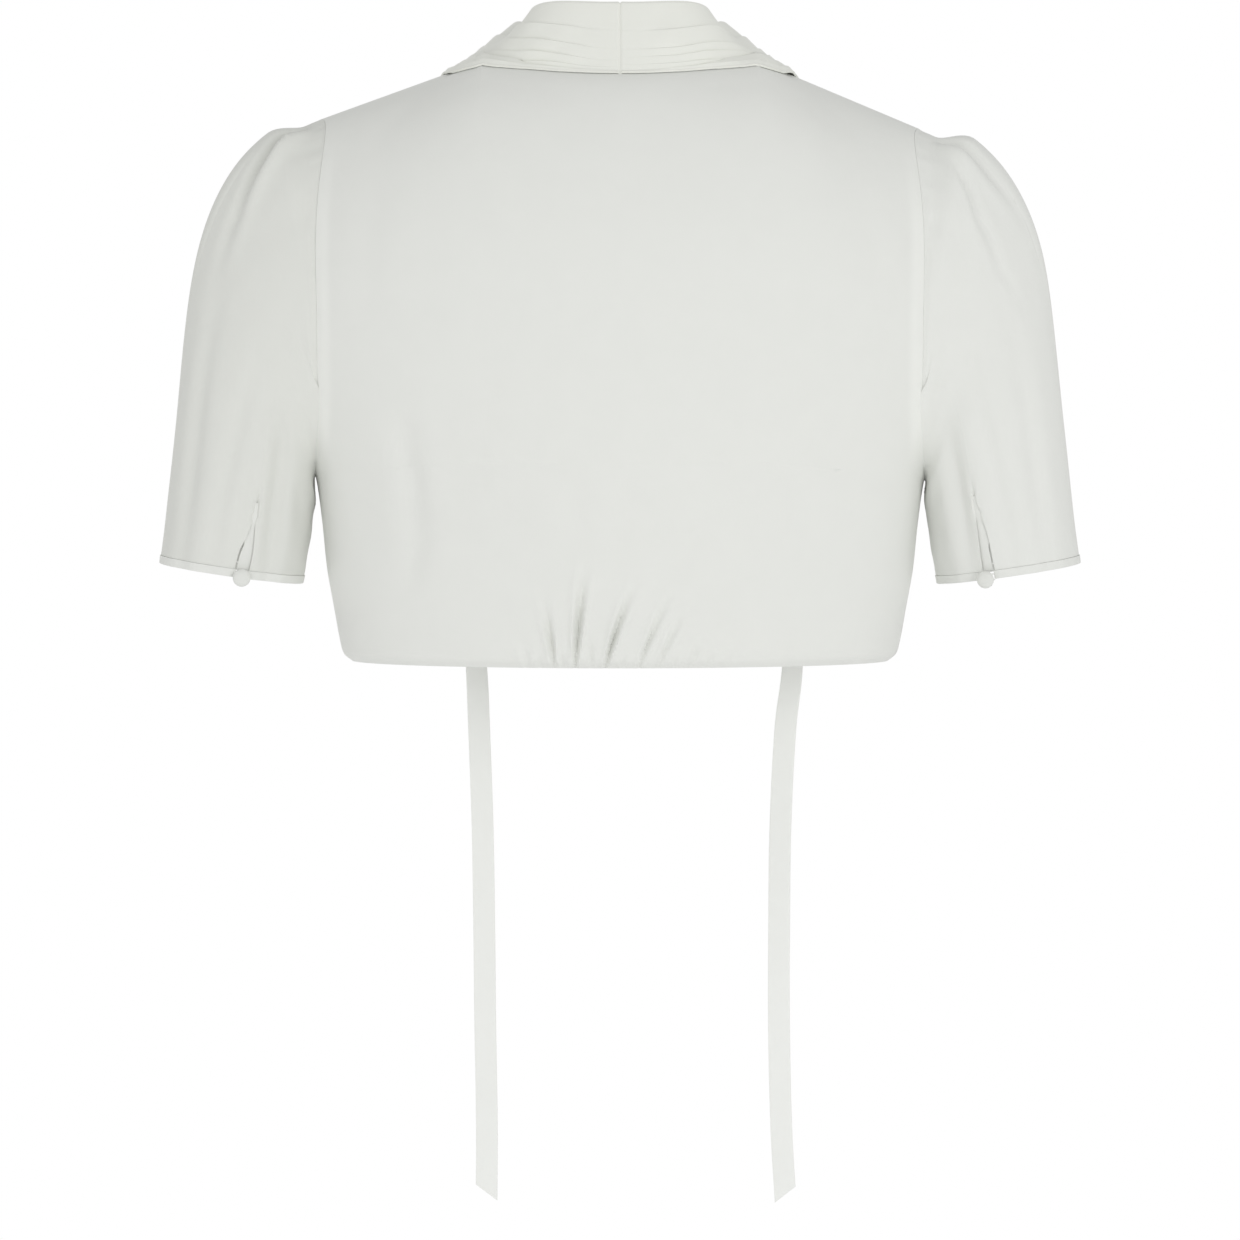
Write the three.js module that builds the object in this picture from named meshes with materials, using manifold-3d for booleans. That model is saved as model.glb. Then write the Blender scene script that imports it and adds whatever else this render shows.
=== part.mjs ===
// A cropped blouse with short puffed sleeves, in the hollow shape it keeps when it is worn.
// Millimetres. +Z is up and -Y is the wearer's front, so the wearer's left is +X.
// The origin is the middle of the neck, level with the seam between the back and the collar.
import * as THREE from "three";
import Module from "manifold-3d";
import { mergeVertices } from "three/addons/utils/BufferGeometryUtils.js";

const wasm = await Module();
wasm.setup();

// Cloth
const CLOTH = 1.2; // one layer
const DOUBLE_CLOTH = 1.8; // collar, ties and bindings are sewn double
const SEAM_GAP = 0.3;
const ARMHOLE_GAP = 0.6; // more room where the seam turns sharply under the arm

// Neck, shoulders and hem
const NECK_HALF_WIDTH = 88;
const NECK_DEPTH = 66; // from the shoulder seam back to the centre back seam
const NECK_SIDE_RISE = 11;
const SHOULDER_HALF_WIDTH = 191;
const SHOULDER_TIP = { left: -26, right: -32 }; // the right shoulder hangs a little lower
const HEM_HEIGHT = -372;
const UNDERARM_SHARE = 0.34; // height of the underarm, as a share of hem to shoulder
const ARMHOLE_DEPTH = { back: 54, front: 48 };

// The torso from hem to shoulder, as half ellipses at the back and the front. share is the height as
// a share of the way up. halfWidth is that of the whole ellipse: above the underarm the armholes
// end the panels short of it.
const TORSO_SECTIONS = [
  { share: 0.0, halfWidth: 172, backDepth: 93, frontDepth: 96, frontEdge: 92 },
  { share: 0.012, halfWidth: 177, backDepth: 98, frontDepth: 101, frontEdge: 92 },
  { share: 0.035, halfWidth: 179.5, backDepth: 101, frontDepth: 103, frontEdge: 92 },
  { share: 0.1, halfWidth: 183.6, backDepth: 103, frontDepth: 106, frontEdge: 90 },
  { share: 0.17, halfWidth: 187.8, backDepth: 105, frontDepth: 110, frontEdge: 88 },
  { share: 0.26, halfWidth: 191, backDepth: 107, frontDepth: 115, frontEdge: 86 },
  { share: 0.34, halfWidth: 195, backDepth: 109, frontDepth: 119, frontEdge: 84 },
  { share: 0.45, halfWidth: 204.5, backDepth: 112, frontDepth: 121, frontEdge: 82 },
  { share: 0.57, halfWidth: 214, backDepth: 113, frontDepth: 121, frontEdge: 81 },
  { share: 0.7, halfWidth: 218, backDepth: 112, frontDepth: 112, frontEdge: 82 },
  { share: 0.85, halfWidth: 219, backDepth: 108, frontDepth: 102, frontEdge: 85 },
  { share: 1.0, halfWidth: 214, backDepth: 103, frontDepth: 94, frontEdge: NECK_HALF_WIDTH },
];
// Where the panels start to round over towards the shoulder seam, and how squarely they do it
const SHOULDER_ROUNDING = {
  back: { start: 0.66, power: 2.1 },
  front: { start: 0.5, power: 2.0 },
};
const BUST = { x: 96, height: -186, rise: 13, halfWidth: 48, halfHeight: 52 };

// Gathers that the elastic pulls into the back hem. at is the place on the hem and lean how far
// the crease moves sideways by its upper end. Positive is towards the wearer's left.
const HEM_GATHERS = [
  { at: 58, lean: 3, length: 22, depth: 1.4, halfWidth: 4 },
  { at: 42, lean: 6, length: 42, depth: 2.4, halfWidth: 4 },
  { at: 28, lean: -6, length: 56, depth: 3.0, halfWidth: 4 },
  { at: 10, lean: -14, length: 46, depth: 3.2, halfWidth: 4.5 },
  { at: -10, lean: -20, length: 50, depth: 2.2, halfWidth: 4.5 },
  { at: -27, lean: -18, length: 34, depth: 1.8, halfWidth: 4 },
  { at: -45, lean: -8, length: 24, depth: 1.4, halfWidth: 4 },
  { at: -62, lean: -6, length: 18, depth: 1.2, halfWidth: 4 },
];

// Sleeves. Places are for the wearer's left arm.
const SLEEVE = {
  hemCentre: new THREE.Vector3(248.8, 0, -310.6),
  hemHalfWidth: 46,
  hemHalfDepth: 49,
  hemTilt: 8.3, // the outer side of the hem is the higher one
  top: { leave: 104, lift: -16, arrive: 214 },
  side: { leave: 30, lift: 0, arrive: 105 },
  under: { leave: 3, lift: 0, arrive: 26 },
};
// Folds that fall from the gathered sleeve head. from and to are degrees round the sleeve, with 0
// on top and 90 at the back; reach is a share of the sleeve's length.
const SLEEVE_FOLDS = {
  left: [
    { from: 8, to: 34, reach: 0.5, depth: 5.0, halfWidth: 8 },
    { from: -34, to: -26, reach: 0.42, depth: 3.0, halfWidth: 9 },
    { from: -60, to: -44, reach: 0.5, depth: 4.0, halfWidth: 9 },
  ],
  right: [
    { from: 32, to: 42, reach: 0.6, depth: 3.0, halfWidth: 8 },
    { from: 13, to: 17, reach: 0.34, depth: 3.4, halfWidth: 7 },
    { from: -30, to: -24, reach: 0.4, depth: 3.0, halfWidth: 9 },
    { from: -56, to: -42, reach: 0.5, depth: 4.0, halfWidth: 9 },
  ],
};
const CUFF = { height: 5.2, proud: 0.5 };
// The slit in the back of each sleeve, from the hem up. The edges are degrees round the sleeve.
const SLIT = {
  left: [
    { height: -1, body: 107.9, outer: 96.5 },
    { height: 11, body: 108.8, outer: 98.2 },
    { height: 21, body: 108.4, outer: 102.2 },
    { height: 28, body: 107.8, outer: 104.4 },
    { height: 37, body: 107.0, outer: 106.2 },
  ],
  right: [
    { height: -1, body: 114.8, outer: 104.6 },
    { height: 11, body: 114.8, outer: 105.5 },
    { height: 22, body: 114.4, outer: 106.4 },
    { height: 33, body: 114.1, outer: 108.8 },
    { height: 42, body: 113.8, outer: 113.0 },
  ],
};
const UNDERLAP = { beyond: 4, above: 6, clearance: 0.4 };
const BUTTON = { radius: 5.6, height: 4.2, shankRadius: 1.3, shankHeight: 1.6, drop: 0.8 };
const BUTTON_ANGLE = { left: 102.8, right: 111.6 };
const LOOP = { radius: 0.5, turn: 2.3 };
const BINDING_END = { body: 1.9, outer: 1.2 }; // degrees past the button and the slit's outer edge

// Collar. at is the distance along the neck seam and down the front edge from the centre back.
// From the seam the band stands, leaning by lean degrees towards the neck, then rolls outwards
// through roll degrees within a length of bend, and falls to its free edge.
const COLLAR_SECTIONS = [
  { at: 0, lean: 20, stand: 43.4, roll: 178, bend: 5.8, fall: 46 },
  { at: 50, lean: 20, stand: 42, roll: 178, bend: 5.8, fall: 47 },
  { at: 80, lean: 28, stand: 40.2, roll: 178, bend: 5.8, fall: 53 },
  { at: 104, lean: 50, stand: 38, roll: 178, bend: 5.6, fall: 59 },
  { at: 125, lean: 61, stand: 34.8, roll: 176, bend: 5.6, fall: 58 },
  { at: 150, lean: 55, stand: 28.8, roll: 168, bend: 6.5, fall: 60 },
  { at: 185, lean: 40, stand: 20, roll: 154, bend: 8, fall: 65 },
  { at: 260, lean: 28, stand: 9, roll: 134, bend: 10, fall: 60 },
  { at: 400, lean: 24, stand: 3.5, roll: 126, bend: 11, fall: 46 },
  { at: 470, lean: 24, stand: 3.5, roll: 126, bend: 11, fall: 32 },
  { at: 530, lean: 24, stand: 3.5, roll: 128, bend: 11, fall: 14 },
];
// The direction that the collar's lean is measured from, which is square to the panels there
const COLLAR_UP = [
  { at: 0, x: 0, y: 0.06, z: 1 },
  { at: 50, x: -0.1, y: 0.07, z: 0.99 },
  { at: 95, x: -0.18, y: 0.02, z: 0.98 },
  { at: 105, x: -0.14, y: 0.03, z: 0.99 },
  { at: 113, x: -0.02, y: 0.04, z: 1 },
  { at: 126, x: 0.22, y: -0.09, z: 0.97 },
  { at: 138, x: 0.33, y: -0.36, z: 0.87 },
  { at: 150, x: 0.31, y: -0.52, z: 0.8 },
  { at: 184, x: 0.27, y: -0.76, z: 0.59 },
  { at: 260, x: 0.24, y: -0.89, z: 0.39 },
  { at: 320, x: 0.19, y: -0.9, z: 0.39 },
  { at: 400, x: 0.18, y: -0.96, z: -0.23 },
  { at: 522, x: 0.31, y: -0.94, z: -0.13 },
];
const COLLAR_START = 0.2; // half the seam gap between the two halves
const COLLAR_END = 522;
const COLLAR_CLEARANCE = 2.9; // from its middle to the panels it lies on
const COLLAR_PARTS = { stand: 0.2, bend: 0.36 }; // the shares at which each of these ends
// Tucks run along the whole collar, at these shares of its fall. They fade at the centre back.
const TUCKS = { left: [0.24, 0.45, 0.63, 0.78, 0.91], right: [0.27, 0.5, 0.62, 0.76, 0.9] };
const TUCK_EDGE = 0.03;
const TUCK_HEIGHT = { centreBack: 0.3, side: 1.3, fullFrom: 62 };

// Ties. They hang from inside the front hem corners, and x is how far out they are at each height.
const TIE = { width: 14.4, top: -352, slant: 11, behind: { top: 2.5, hem: 4.3 } };
const TIE_DRIFT = {
  left: [
    { height: -738, x: 89.2 },
    { height: -690, x: 88.9 },
    { height: -620, x: 89.9 },
    { height: -555, x: 90.5 },
    { height: -490, x: 91.5 },
    { height: -423, x: 93.8 },
    { height: -385, x: 95.4 },
    { height: -352, x: 98.5 },
  ],
  right: [
    { height: -738, x: 110.6 },
    { height: -690, x: 107.7 },
    { height: -620, x: 106 },
    { height: -555, x: 106 },
    { height: -490, x: 106.7 },
    { height: -423, x: 110 },
    { height: -385, x: 114.3 },
    { height: -352, x: 114 },
  ],
};

// How finely the cloth is divided
const ROWS = { body: 8, armhole: 14 };
const BACK_COLUMNS = 16; // on each side of the centre
const FRONT_COLUMNS = 9;
const SLEEVE_ROWS = 13;
const COLLAR_COLUMNS = [0, 0.1, 0.2, 0.235, 0.28, 0.325, 0.36, 1];
const TIE_ROWS = { inside: 7, below: 17 };

const COLOURS = { cloth: 0xe3e4df, collar: 0xe6e7e1, tie: 0xe8e9e4, button: 0xdfe0dc };
const SIDES = { left: 1, right: -1 };

const radians = THREE.MathUtils.degToRad;
const lerp = THREE.MathUtils.lerp;
const clamp01 = (t) => Math.min(Math.max(t, 0), 1);
const smooth = (t) => THREE.MathUtils.smoothstep(t, 0, 1);
const bell = (t) => Math.exp(-t * t);

// The value of a column at a place between the rows of a table, on a smooth curve through them.
function valueAt(rows, key, column, at) {
  const slope = (i) => {
    const before = rows[Math.max(i - 1, 0)];
    const after = rows[Math.min(i + 1, rows.length - 1)];
    return (after[column] - before[column]) / (after[key] - before[key]);
  };
  let i = 0;
  while (i < rows.length - 2 && at > rows[i + 1][key]) i += 1;
  const span = rows[i + 1][key] - rows[i][key];
  const t = clamp01((at - rows[i][key]) / span);
  const t2 = t * t;
  const t3 = t2 * t;
  return (
    rows[i][column] * (2 * t3 - 3 * t2 + 1) +
    slope(i) * span * (t3 - 2 * t2 + t) +
    rows[i + 1][column] * (3 * t2 - 2 * t3) +
    slope(i + 1) * span * (t3 - t2)
  );
}

// The normal at every point of a grid of points, on the side given by facing.
function gridNormals(grid, facing, closed = false) {
  const columns = grid[0].length;
  return grid.map((row, i) =>
    row.map((point, j) => {
      const below = grid[Math.max(i - 1, 0)][j];
      const above = grid[Math.min(i + 1, grid.length - 1)][j];
      const before = closed ? row[(j + columns - 1) % columns] : row[Math.max(j - 1, 0)];
      const after = closed ? row[(j + 1) % columns] : row[Math.min(j + 1, columns - 1)];
      const along = new THREE.Vector3().subVectors(after, before);
      const up = new THREE.Vector3().subVectors(above, below);
      const normal = along.cross(up).normalize();
      return facing(point, i, j).dot(normal) < 0 ? normal.negate() : normal;
    }),
  );
}

function movedGrid(grid, normals, distance) {
  return grid.map((row, i) =>
    row.map((point, j) => point.clone().addScaledVector(normals[i][j], distance)),
  );
}

// A closed wall between an outer and an inner grid of points. A closed grid is a tube.
function wallBetween(outer, inner, closed = false) {
  const rows = outer.length;
  const columns = outer[0].length;
  const last = closed ? columns : columns - 1;
  const positions = [...outer.flat(), ...inner.flat()].flatMap((p) => [p.x, p.y, p.z]);
  const at = (face, i, j) => face * rows * columns + i * columns + (j % columns);
  const index = [];
  const quad = (a, b, c, d) => index.push(a, b, c, a, c, d);
  for (let i = 0; i < rows - 1; i += 1) {
    for (let j = 0; j < last; j += 1) {
      quad(at(0, i, j), at(0, i, j + 1), at(0, i + 1, j + 1), at(0, i + 1, j));
      quad(at(1, i, j), at(1, i + 1, j), at(1, i + 1, j + 1), at(1, i, j + 1));
    }
  }
  for (let j = 0; j < last; j += 1) {
    quad(at(0, 0, j), at(1, 0, j), at(1, 0, j + 1), at(0, 0, j + 1));
    quad(at(0, rows - 1, j), at(0, rows - 1, j + 1), at(1, rows - 1, j + 1), at(1, rows - 1, j));
  }
  for (let i = 0; i < rows - 1 && !closed; i += 1) {
    const j = columns - 1;
    quad(at(0, i, 0), at(0, i + 1, 0), at(1, i + 1, 0), at(1, i, 0));
    quad(at(0, i, j), at(1, i, j), at(1, i + 1, j), at(0, i + 1, j));
  }
  const geometry = new THREE.BufferGeometry();
  geometry.setAttribute("position", new THREE.Float32BufferAttribute(positions, 3));
  geometry.setIndex(index);
  return facingOut(geometry);
}

// The geometry with its faces turned to point out of the solid.
function facingOut(geometry) {
  const p = geometry.getAttribute("position");
  const index = geometry.getIndex().array;
  const [a, b, c] = [new THREE.Vector3(), new THREE.Vector3(), new THREE.Vector3()];
  let volume = 0;
  for (let i = 0; i < index.length; i += 3) {
    a.fromBufferAttribute(p, index[i]);
    b.fromBufferAttribute(p, index[i + 1]);
    c.fromBufferAttribute(p, index[i + 2]);
    volume += a.dot(b.cross(c));
  }
  if (volume < 0) {
    for (let i = 0; i < index.length; i += 3) [index[i + 1], index[i + 2]] = [index[i + 2], index[i + 1]];
  }
  return geometry;
}

// The shapes of the figure that the panels follow

function sectionAt(share) {
  const at = (column) => valueAt(TORSO_SECTIONS, "share", column, share);
  return {
    halfWidth: at("halfWidth"),
    backDepth: at("backDepth"),
    frontDepth: at("frontDepth"),
    frontEdge: at("frontEdge"),
  };
}

// The height of the shoulder seam or the neck seam over a place x on the top edge of the back.
function topHeight(side, x) {
  if (x < NECK_HALF_WIDTH) return NECK_SIDE_RISE * (x / NECK_HALF_WIDTH) ** 2;
  const t = (x - NECK_HALF_WIDTH) / (SHOULDER_HALF_WIDTH - NECK_HALF_WIDTH);
  return lerp(NECK_SIDE_RISE, SHOULDER_TIP[side], t);
}

// How deep the armhole edge lies behind or in front of the shoulder seam.
function armholeDepth(depth, share) {
  const t = clamp01((share - UNDERARM_SHARE) / (1 - UNDERARM_SHARE));
  return 2 * depth * Math.sqrt(t * (1 - t));
}

// 1 below the shoulder, falling to 0 at the shoulder seam on a rounded curve.
function shoulderRound({ start, power }, share) {
  return (1 - clamp01((share - start) / (1 - start)) ** power) ** (1 / power);
}

// How far the gathers draw the back in, at a place x on it and a height above the hem.
function gatherDepth(x, height) {
  return HEM_GATHERS.reduce((sum, g) => {
    const up = clamp01(height / g.length);
    const middle = g.at + g.lean * up;
    return sum + g.depth * (1 - smooth(up)) * bell((x - middle) / g.halfWidth);
  }, 0);
}

// The half ellipse a panel follows at a height, with the turns where the panel starts and where the
// armhole or the side seam ends it. Both panels end at the same distance out.
function ellipseAt(face, share) {
  const s = sectionAt(share);
  const below = Math.min(share, 0.9995);
  const endOf = (of, depth) =>
    Math.acos(
      armholeDepth(ARMHOLE_DEPTH[of], below) / (depth * shoulderRound(SHOULDER_ROUNDING[of], below)),
    );
  const backEnd = endOf("back", s.backDepth);
  if (face === "back") return { depth: s.backDepth, end: backEnd, halfWidth: s.halfWidth };
  const end = endOf("front", s.frontDepth);
  const halfWidth = (s.halfWidth * Math.sin(backEnd)) / Math.sin(end);
  return { depth: s.frontDepth, end, halfWidth, start: Math.asin(s.frontEdge / halfWidth) };
}

// How far round the back's ellipse a column lies. The columns near the centre hardly move.
function backTurn({ end }, across) {
  const quarter = Math.PI / 2;
  return quarter * across * (1 - across * (1 - end / quarter));
}

// A point of the back panel. across is 0 at the centre back and 1 at the side.
function backPoint(side, across, share) {
  const ellipse = ellipseAt("back", share);
  const top = ellipseAt("back", 1);
  const turn = backTurn(ellipse, across);
  const x = ellipse.halfWidth * Math.sin(turn);
  const topX = top.halfWidth * Math.sin(backTurn(top, across));
  const z = lerp(HEM_HEIGHT, topHeight(side, topX), share);
  const round = shoulderRound(SHOULDER_ROUNDING.back, share);
  const reach = lerp(NECK_HALF_WIDTH, SHOULDER_HALF_WIDTH - 4, round);
  const neck = Math.max(0, 1 - (x / reach) ** 2) ** lerp(0.5, 1.6, Math.min(1, 2 * round));
  const y =
    round * ellipse.depth * Math.cos(turn) +
    (1 - round) * NECK_DEPTH * neck -
    gatherDepth(SIDES[side] * x, z - HEM_HEIGHT);
  return new THREE.Vector3(SIDES[side] * x, y + SEAM_GAP / 2, z);
}

// A point of a front panel. across is 0 at the front edge and 1 at the side.
function frontPoint(side, across, share) {
  const ellipse = ellipseAt("front", share);
  const top = ellipseAt("front", 1);
  const turn = lerp(ellipse.start, ellipse.end, across);
  const x = ellipse.halfWidth * Math.sin(turn);
  const topX = top.halfWidth * Math.sin(lerp(top.start, top.end, across));
  const z = lerp(HEM_HEIGHT, topHeight(side, Math.max(topX, NECK_HALF_WIDTH)), share);
  const bust =
    BUST.rise * bell((x - BUST.x) / BUST.halfWidth) * bell((z - BUST.height) / BUST.halfHeight);
  const round = shoulderRound(SHOULDER_ROUNDING.front, share);
  const y = round * ellipse.depth * Math.cos(turn) + bust;
  return new THREE.Vector3(SIDES[side] * x, -y - SEAM_GAP / 2, z);
}

// The heights of the rows of a panel, as shares. They crowd towards the hem, the underarm and the
// shoulder seam, where the cloth turns most.
function rowShares() {
  const body = Array.from(
    { length: ROWS.body },
    (_, i) => UNDERARM_SHARE * Math.pow(i / ROWS.body, 1.4),
  );
  const armhole = Array.from(
    { length: ROWS.armhole + 1 },
    (_, i) => lerp(1, UNDERARM_SHARE, (1 + Math.cos((Math.PI * i) / ROWS.armhole)) / 2),
  );
  return [...body, ...armhole];
}

// The columns of half the back, from the centre out: close together over the gathers, and with one
// on the corner where neck and shoulder seam meet.
function backColumns() {
  const top = ellipseAt("back", 1);
  let neck = 0;
  while (top.halfWidth * Math.sin(backTurn(top, neck)) < NECK_HALF_WIDTH) neck += 1e-4;
  const inNeck = Math.round(BACK_COLUMNS * 0.62);
  const outside = BACK_COLUMNS - inNeck;
  return [
    ...Array.from({ length: inNeck }, (_, i) => (neck * i) / inNeck),
    ...Array.from({ length: outside + 1 }, (_, i) => lerp(neck, 1, i / outside)),
  ];
}

const outwards = (p) => new THREE.Vector3(p.x, p.y, 40);

// The panel's normals, square to the side and shoulder seams so that the walls meet there.
function panelNormals(grid, isSeam) {
  const normals = gridNormals(grid, outwards);
  grid.forEach((row, i) =>
    row.forEach((_, j) => {
      if (isSeam(i, j)) normals[i][j].setY(0).normalize();
    }),
  );
  return normals;
}

function backPanel() {
  const shares = rowShares();
  const half = backColumns();
  const columns = [
    ...half.slice(1).reverse().map((across) => ["left", across]),
    ...half.map((across) => ["right", across]),
  ];
  const grid = shares.map((share) => columns.map(([side, across]) => backPoint(side, across, share)));
  const topRow = shares.length - 1;
  const normals = panelNormals(grid, (i, j) => {
    const onSide = (j === 0 || j === columns.length - 1) && (i <= ROWS.body || i === topRow);
    const onShoulder = i === topRow && Math.abs(grid[i][j].x) > NECK_HALF_WIDTH - 1;
    return onSide || onShoulder;
  });
  return { grid, normals };
}

function frontPanel(side) {
  const shares = rowShares();
  const grid = shares.map((share) =>
    Array.from({ length: FRONT_COLUMNS + 1 }, (_, j) => frontPoint(side, j / FRONT_COLUMNS, share)),
  );
  const normals = panelNormals(
    grid,
    (i, j) => i === shares.length - 1 || (j === FRONT_COLUMNS && i <= ROWS.body),
  );
  return { grid, normals };
}

function panelWall({ grid, normals }) {
  return wallBetween(grid, movedGrid(grid, normals, -CLOTH));
}

// The armhole as a ring of points with the panels' own normals, from the shoulder tip down the
// back edge and up the front edge.
function armholeRing(side, back, front) {
  const backColumn = side === "left" ? 0 : back.grid[0].length - 1;
  const rows = Array.from({ length: ROWS.armhole + 1 }, (_, i) => ROWS.body + i).reverse();
  const edge = (panel, column) =>
    rows.map((i) => ({ point: panel.grid[i][column], normal: panel.normals[i][column] }));
  const down = edge(back, backColumn);
  const up = edge(front, FRONT_COLUMNS).slice(1, -1).reverse();
  return [...down, ...up];
}

// How much a value given for the top, side and underside of the sleeve counts at an angle.
function aroundSleeve(angle, key) {
  const c = Math.cos(angle);
  const side = SLEEVE.side[key];
  const end = c > 0 ? SLEEVE.top[key] : SLEEVE.under[key];
  return lerp(side, end, c * c);
}

// The sleeve's grid: curves that leave the armhole outwards and reach the hem downwards.
function sleeveGrid(side, back, front) {
  const sign = SIDES[side];
  const ring = armholeRing(side, back, front);
  const tilt = radians(SLEEVE.hemTilt);
  const across = new THREE.Vector3(sign * Math.cos(tilt), 0, Math.sin(tilt));
  const up = new THREE.Vector3(-sign * Math.sin(tilt), 0, Math.cos(tilt));
  const centre = SLEEVE.hemCentre.clone().setX(sign * SLEEVE.hemCentre.x);
  const opening = new THREE.Vector3(sign * SHOULDER_HALF_WIDTH, 0, lerp(SHOULDER_TIP[side], HEM_HEIGHT, 0.32));
  const starts = ring.map(({ point, normal }, k) => {
    const before = ring[(k + ring.length - 1) % ring.length].point;
    const after = ring[(k + 1) % ring.length].point;
    const away = normal.clone().cross(new THREE.Vector3().subVectors(after, before)).normalize();
    if (away.dot(new THREE.Vector3().subVectors(opening, point)) < 0) away.negate();
    const outer = point.clone().addScaledVector(away, ARMHOLE_GAP);
    return { outer, inner: outer.clone().addScaledVector(normal, -CLOTH), away };
  });
  const curves = starts.map(({ outer, away }, k) => {
    const angle = (2 * Math.PI * k) / ring.length;
    const hem = centre
      .clone()
      .addScaledVector(across, SLEEVE.hemHalfWidth * Math.cos(angle))
      .add(new THREE.Vector3(0, SLEEVE.hemHalfDepth * Math.sin(angle), 0));
    const leaving = away.clone().multiplyScalar(0.5).add(new THREE.Vector3(sign, 0, 0)).normalize();
    const first = outer.clone().addScaledVector(leaving, aroundSleeve(angle, "leave"));
    first.z += aroundSleeve(angle, "lift");
    const second = hem.clone().addScaledVector(up, aroundSleeve(angle, "arrive"));
    return new THREE.CubicBezierCurve3(outer, first, second, hem);
  });
  const grid = Array.from({ length: SLEEVE_ROWS + 1 }, (_, i) => {
    const t = Math.pow(i / SLEEVE_ROWS, 1.15);
    return curves.map((curve) => curve.getPoint(t));
  });
  return { grid, starts };
}

// How far the folds of the sleeve head draw the cloth in, along and round the sleeve.
function foldDepth(side, along, angle) {
  return SLEEVE_FOLDS[side].reduce((sum, f) => {
    const t = clamp01(along / f.reach);
    const off = THREE.MathUtils.euclideanModulo(angle - lerp(f.from, f.to, t) + 180, 360) - 180;
    const fade = Math.min(1, t * 7) * (1 - smooth(t));
    return sum + f.depth * fade * bell(off / f.halfWidth);
  }, 0);
}

function sleeveWall(side, back, front) {
  const { grid, starts } = sleeveGrid(side, back, front);
  const columns = starts.length;
  const middles = grid.map((row) =>
    row.reduce((sum, p) => sum.add(p), new THREE.Vector3()).divideScalar(columns),
  );
  const facing = (p, i) => new THREE.Vector3().subVectors(p, middles[i]);
  const plain = gridNormals(grid, facing, true);
  const folded = grid.map((row, i) =>
    row.map((p, j) => {
      const depth = foldDepth(side, i / SLEEVE_ROWS, (360 * j) / columns);
      return p.clone().addScaledVector(plain[i][j], -depth);
    }),
  );
  const normals = gridNormals(folded, facing, true);
  const inner = movedGrid(folded, normals, -CLOTH);
  inner[0] = starts.map((s) => s.inner);
  return { geometry: wallBetween(folded, inner, true), grid: folded, normals };
}

// A place on a grid given by fractions of rows and columns, with the normal there.
function onGrid({ grid, normals }, row, column) {
  const columns = grid[0].length;
  const i = Math.min(Math.floor(row), grid.length - 2);
  const j = Math.floor(column);
  const mix = (list) => {
    const at = (a, b) => list[a][((b % columns) + columns) % columns];
    const near = at(i, j).clone().lerp(at(i, j + 1), column - j);
    const far = at(i + 1, j).clone().lerp(at(i + 1, j + 1), column - j);
    return near.lerp(far, row - i);
  };
  return { point: mix(grid), normal: mix(normals).normalize() };
}

// A place on the lower part of a sleeve, by degrees round it and height above its edge. Places
// below the edge carry on in the same direction.
function onSleeve(sleeve, degrees, height) {
  const column = (degrees / 360) * sleeve.grid[0].length;
  const last = sleeve.grid.length - 1;
  const hem = onGrid(sleeve, last, column);
  const up = onGrid(sleeve, last - 1, column).point.sub(hem.point).normalize();
  if (height <= 0) return { point: hem.point.addScaledVector(up, height), normal: hem.normal, up };
  let row = last;
  let place = hem;
  while (row > 1 && place.point.distanceTo(hem.point) < height) {
    row -= 0.02;
    place = onGrid(sleeve, row, column);
  }
  return { ...place, up };
}

// A wall over a patch of a sleeve, between two depths. Positive is outwards from its outer face.
function sleevePatch(sleeve, places, outside, inside) {
  const at = (depth) =>
    places.map((row) =>
      row.map(([degrees, height]) => {
        const { point, normal } = onSleeve(sleeve, degrees, height);
        return point.clone().addScaledVector(normal, depth);
      }),
    );
  return wallBetween(at(outside), at(inside));
}

function toSolid(geometry) {
  const mesh = new wasm.Mesh({
    numProp: 3,
    vertProperties: new Float32Array(geometry.getAttribute("position").array),
    triVerts: new Uint32Array(geometry.getIndex().array),
  });
  mesh.merge();
  return new wasm.Manifold(mesh);
}

function toGeometry(solid) {
  const mesh = solid.getMesh();
  const geometry = new THREE.BufferGeometry();
  const positions = Array.from(mesh.vertProperties);
  geometry.setAttribute("position", new THREE.Float32BufferAttribute(positions, 3));
  geometry.setIndex(Array.from(mesh.triVerts));
  return mergeVertices(geometry, 1e-4);
}

function slitSleeve(side, sleeve) {
  const places = SLIT[side].map(({ height, body, outer }) =>
    [body, lerp(body, outer, 0.5), outer].map((degrees) => [degrees, height]),
  );
  const cutter = toSolid(sleevePatch(sleeve, places, 8, -8));
  return toGeometry(toSolid(sleeve.geometry).subtract(cutter));
}

// The strip under the slit, a little wider than the slit and a little taller.
function underlap(side, sleeve) {
  const perDegree = (2 * Math.PI * SLEEVE.hemHalfWidth) / 360;
  const beyond = UNDERLAP.beyond / perDegree;
  const top = SLIT[side].at(-1).height + UNDERLAP.above;
  const steps = 8;
  const places = Array.from({ length: steps + 1 }, (_, i) => {
    const height = lerp(0.4, top, i / steps);
    const body = valueAt(SLIT[side], "height", "body", Math.min(height, top - UNDERLAP.above));
    const outer = valueAt(SLIT[side], "height", "outer", Math.min(height, top - UNDERLAP.above));
    return Array.from({ length: 5 }, (_, j) => [lerp(body + beyond, outer - beyond, j / 4), height]);
  });
  const near = -CLOTH - UNDERLAP.clearance;
  return sleevePatch(sleeve, places, near, near - CLOTH);
}

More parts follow.
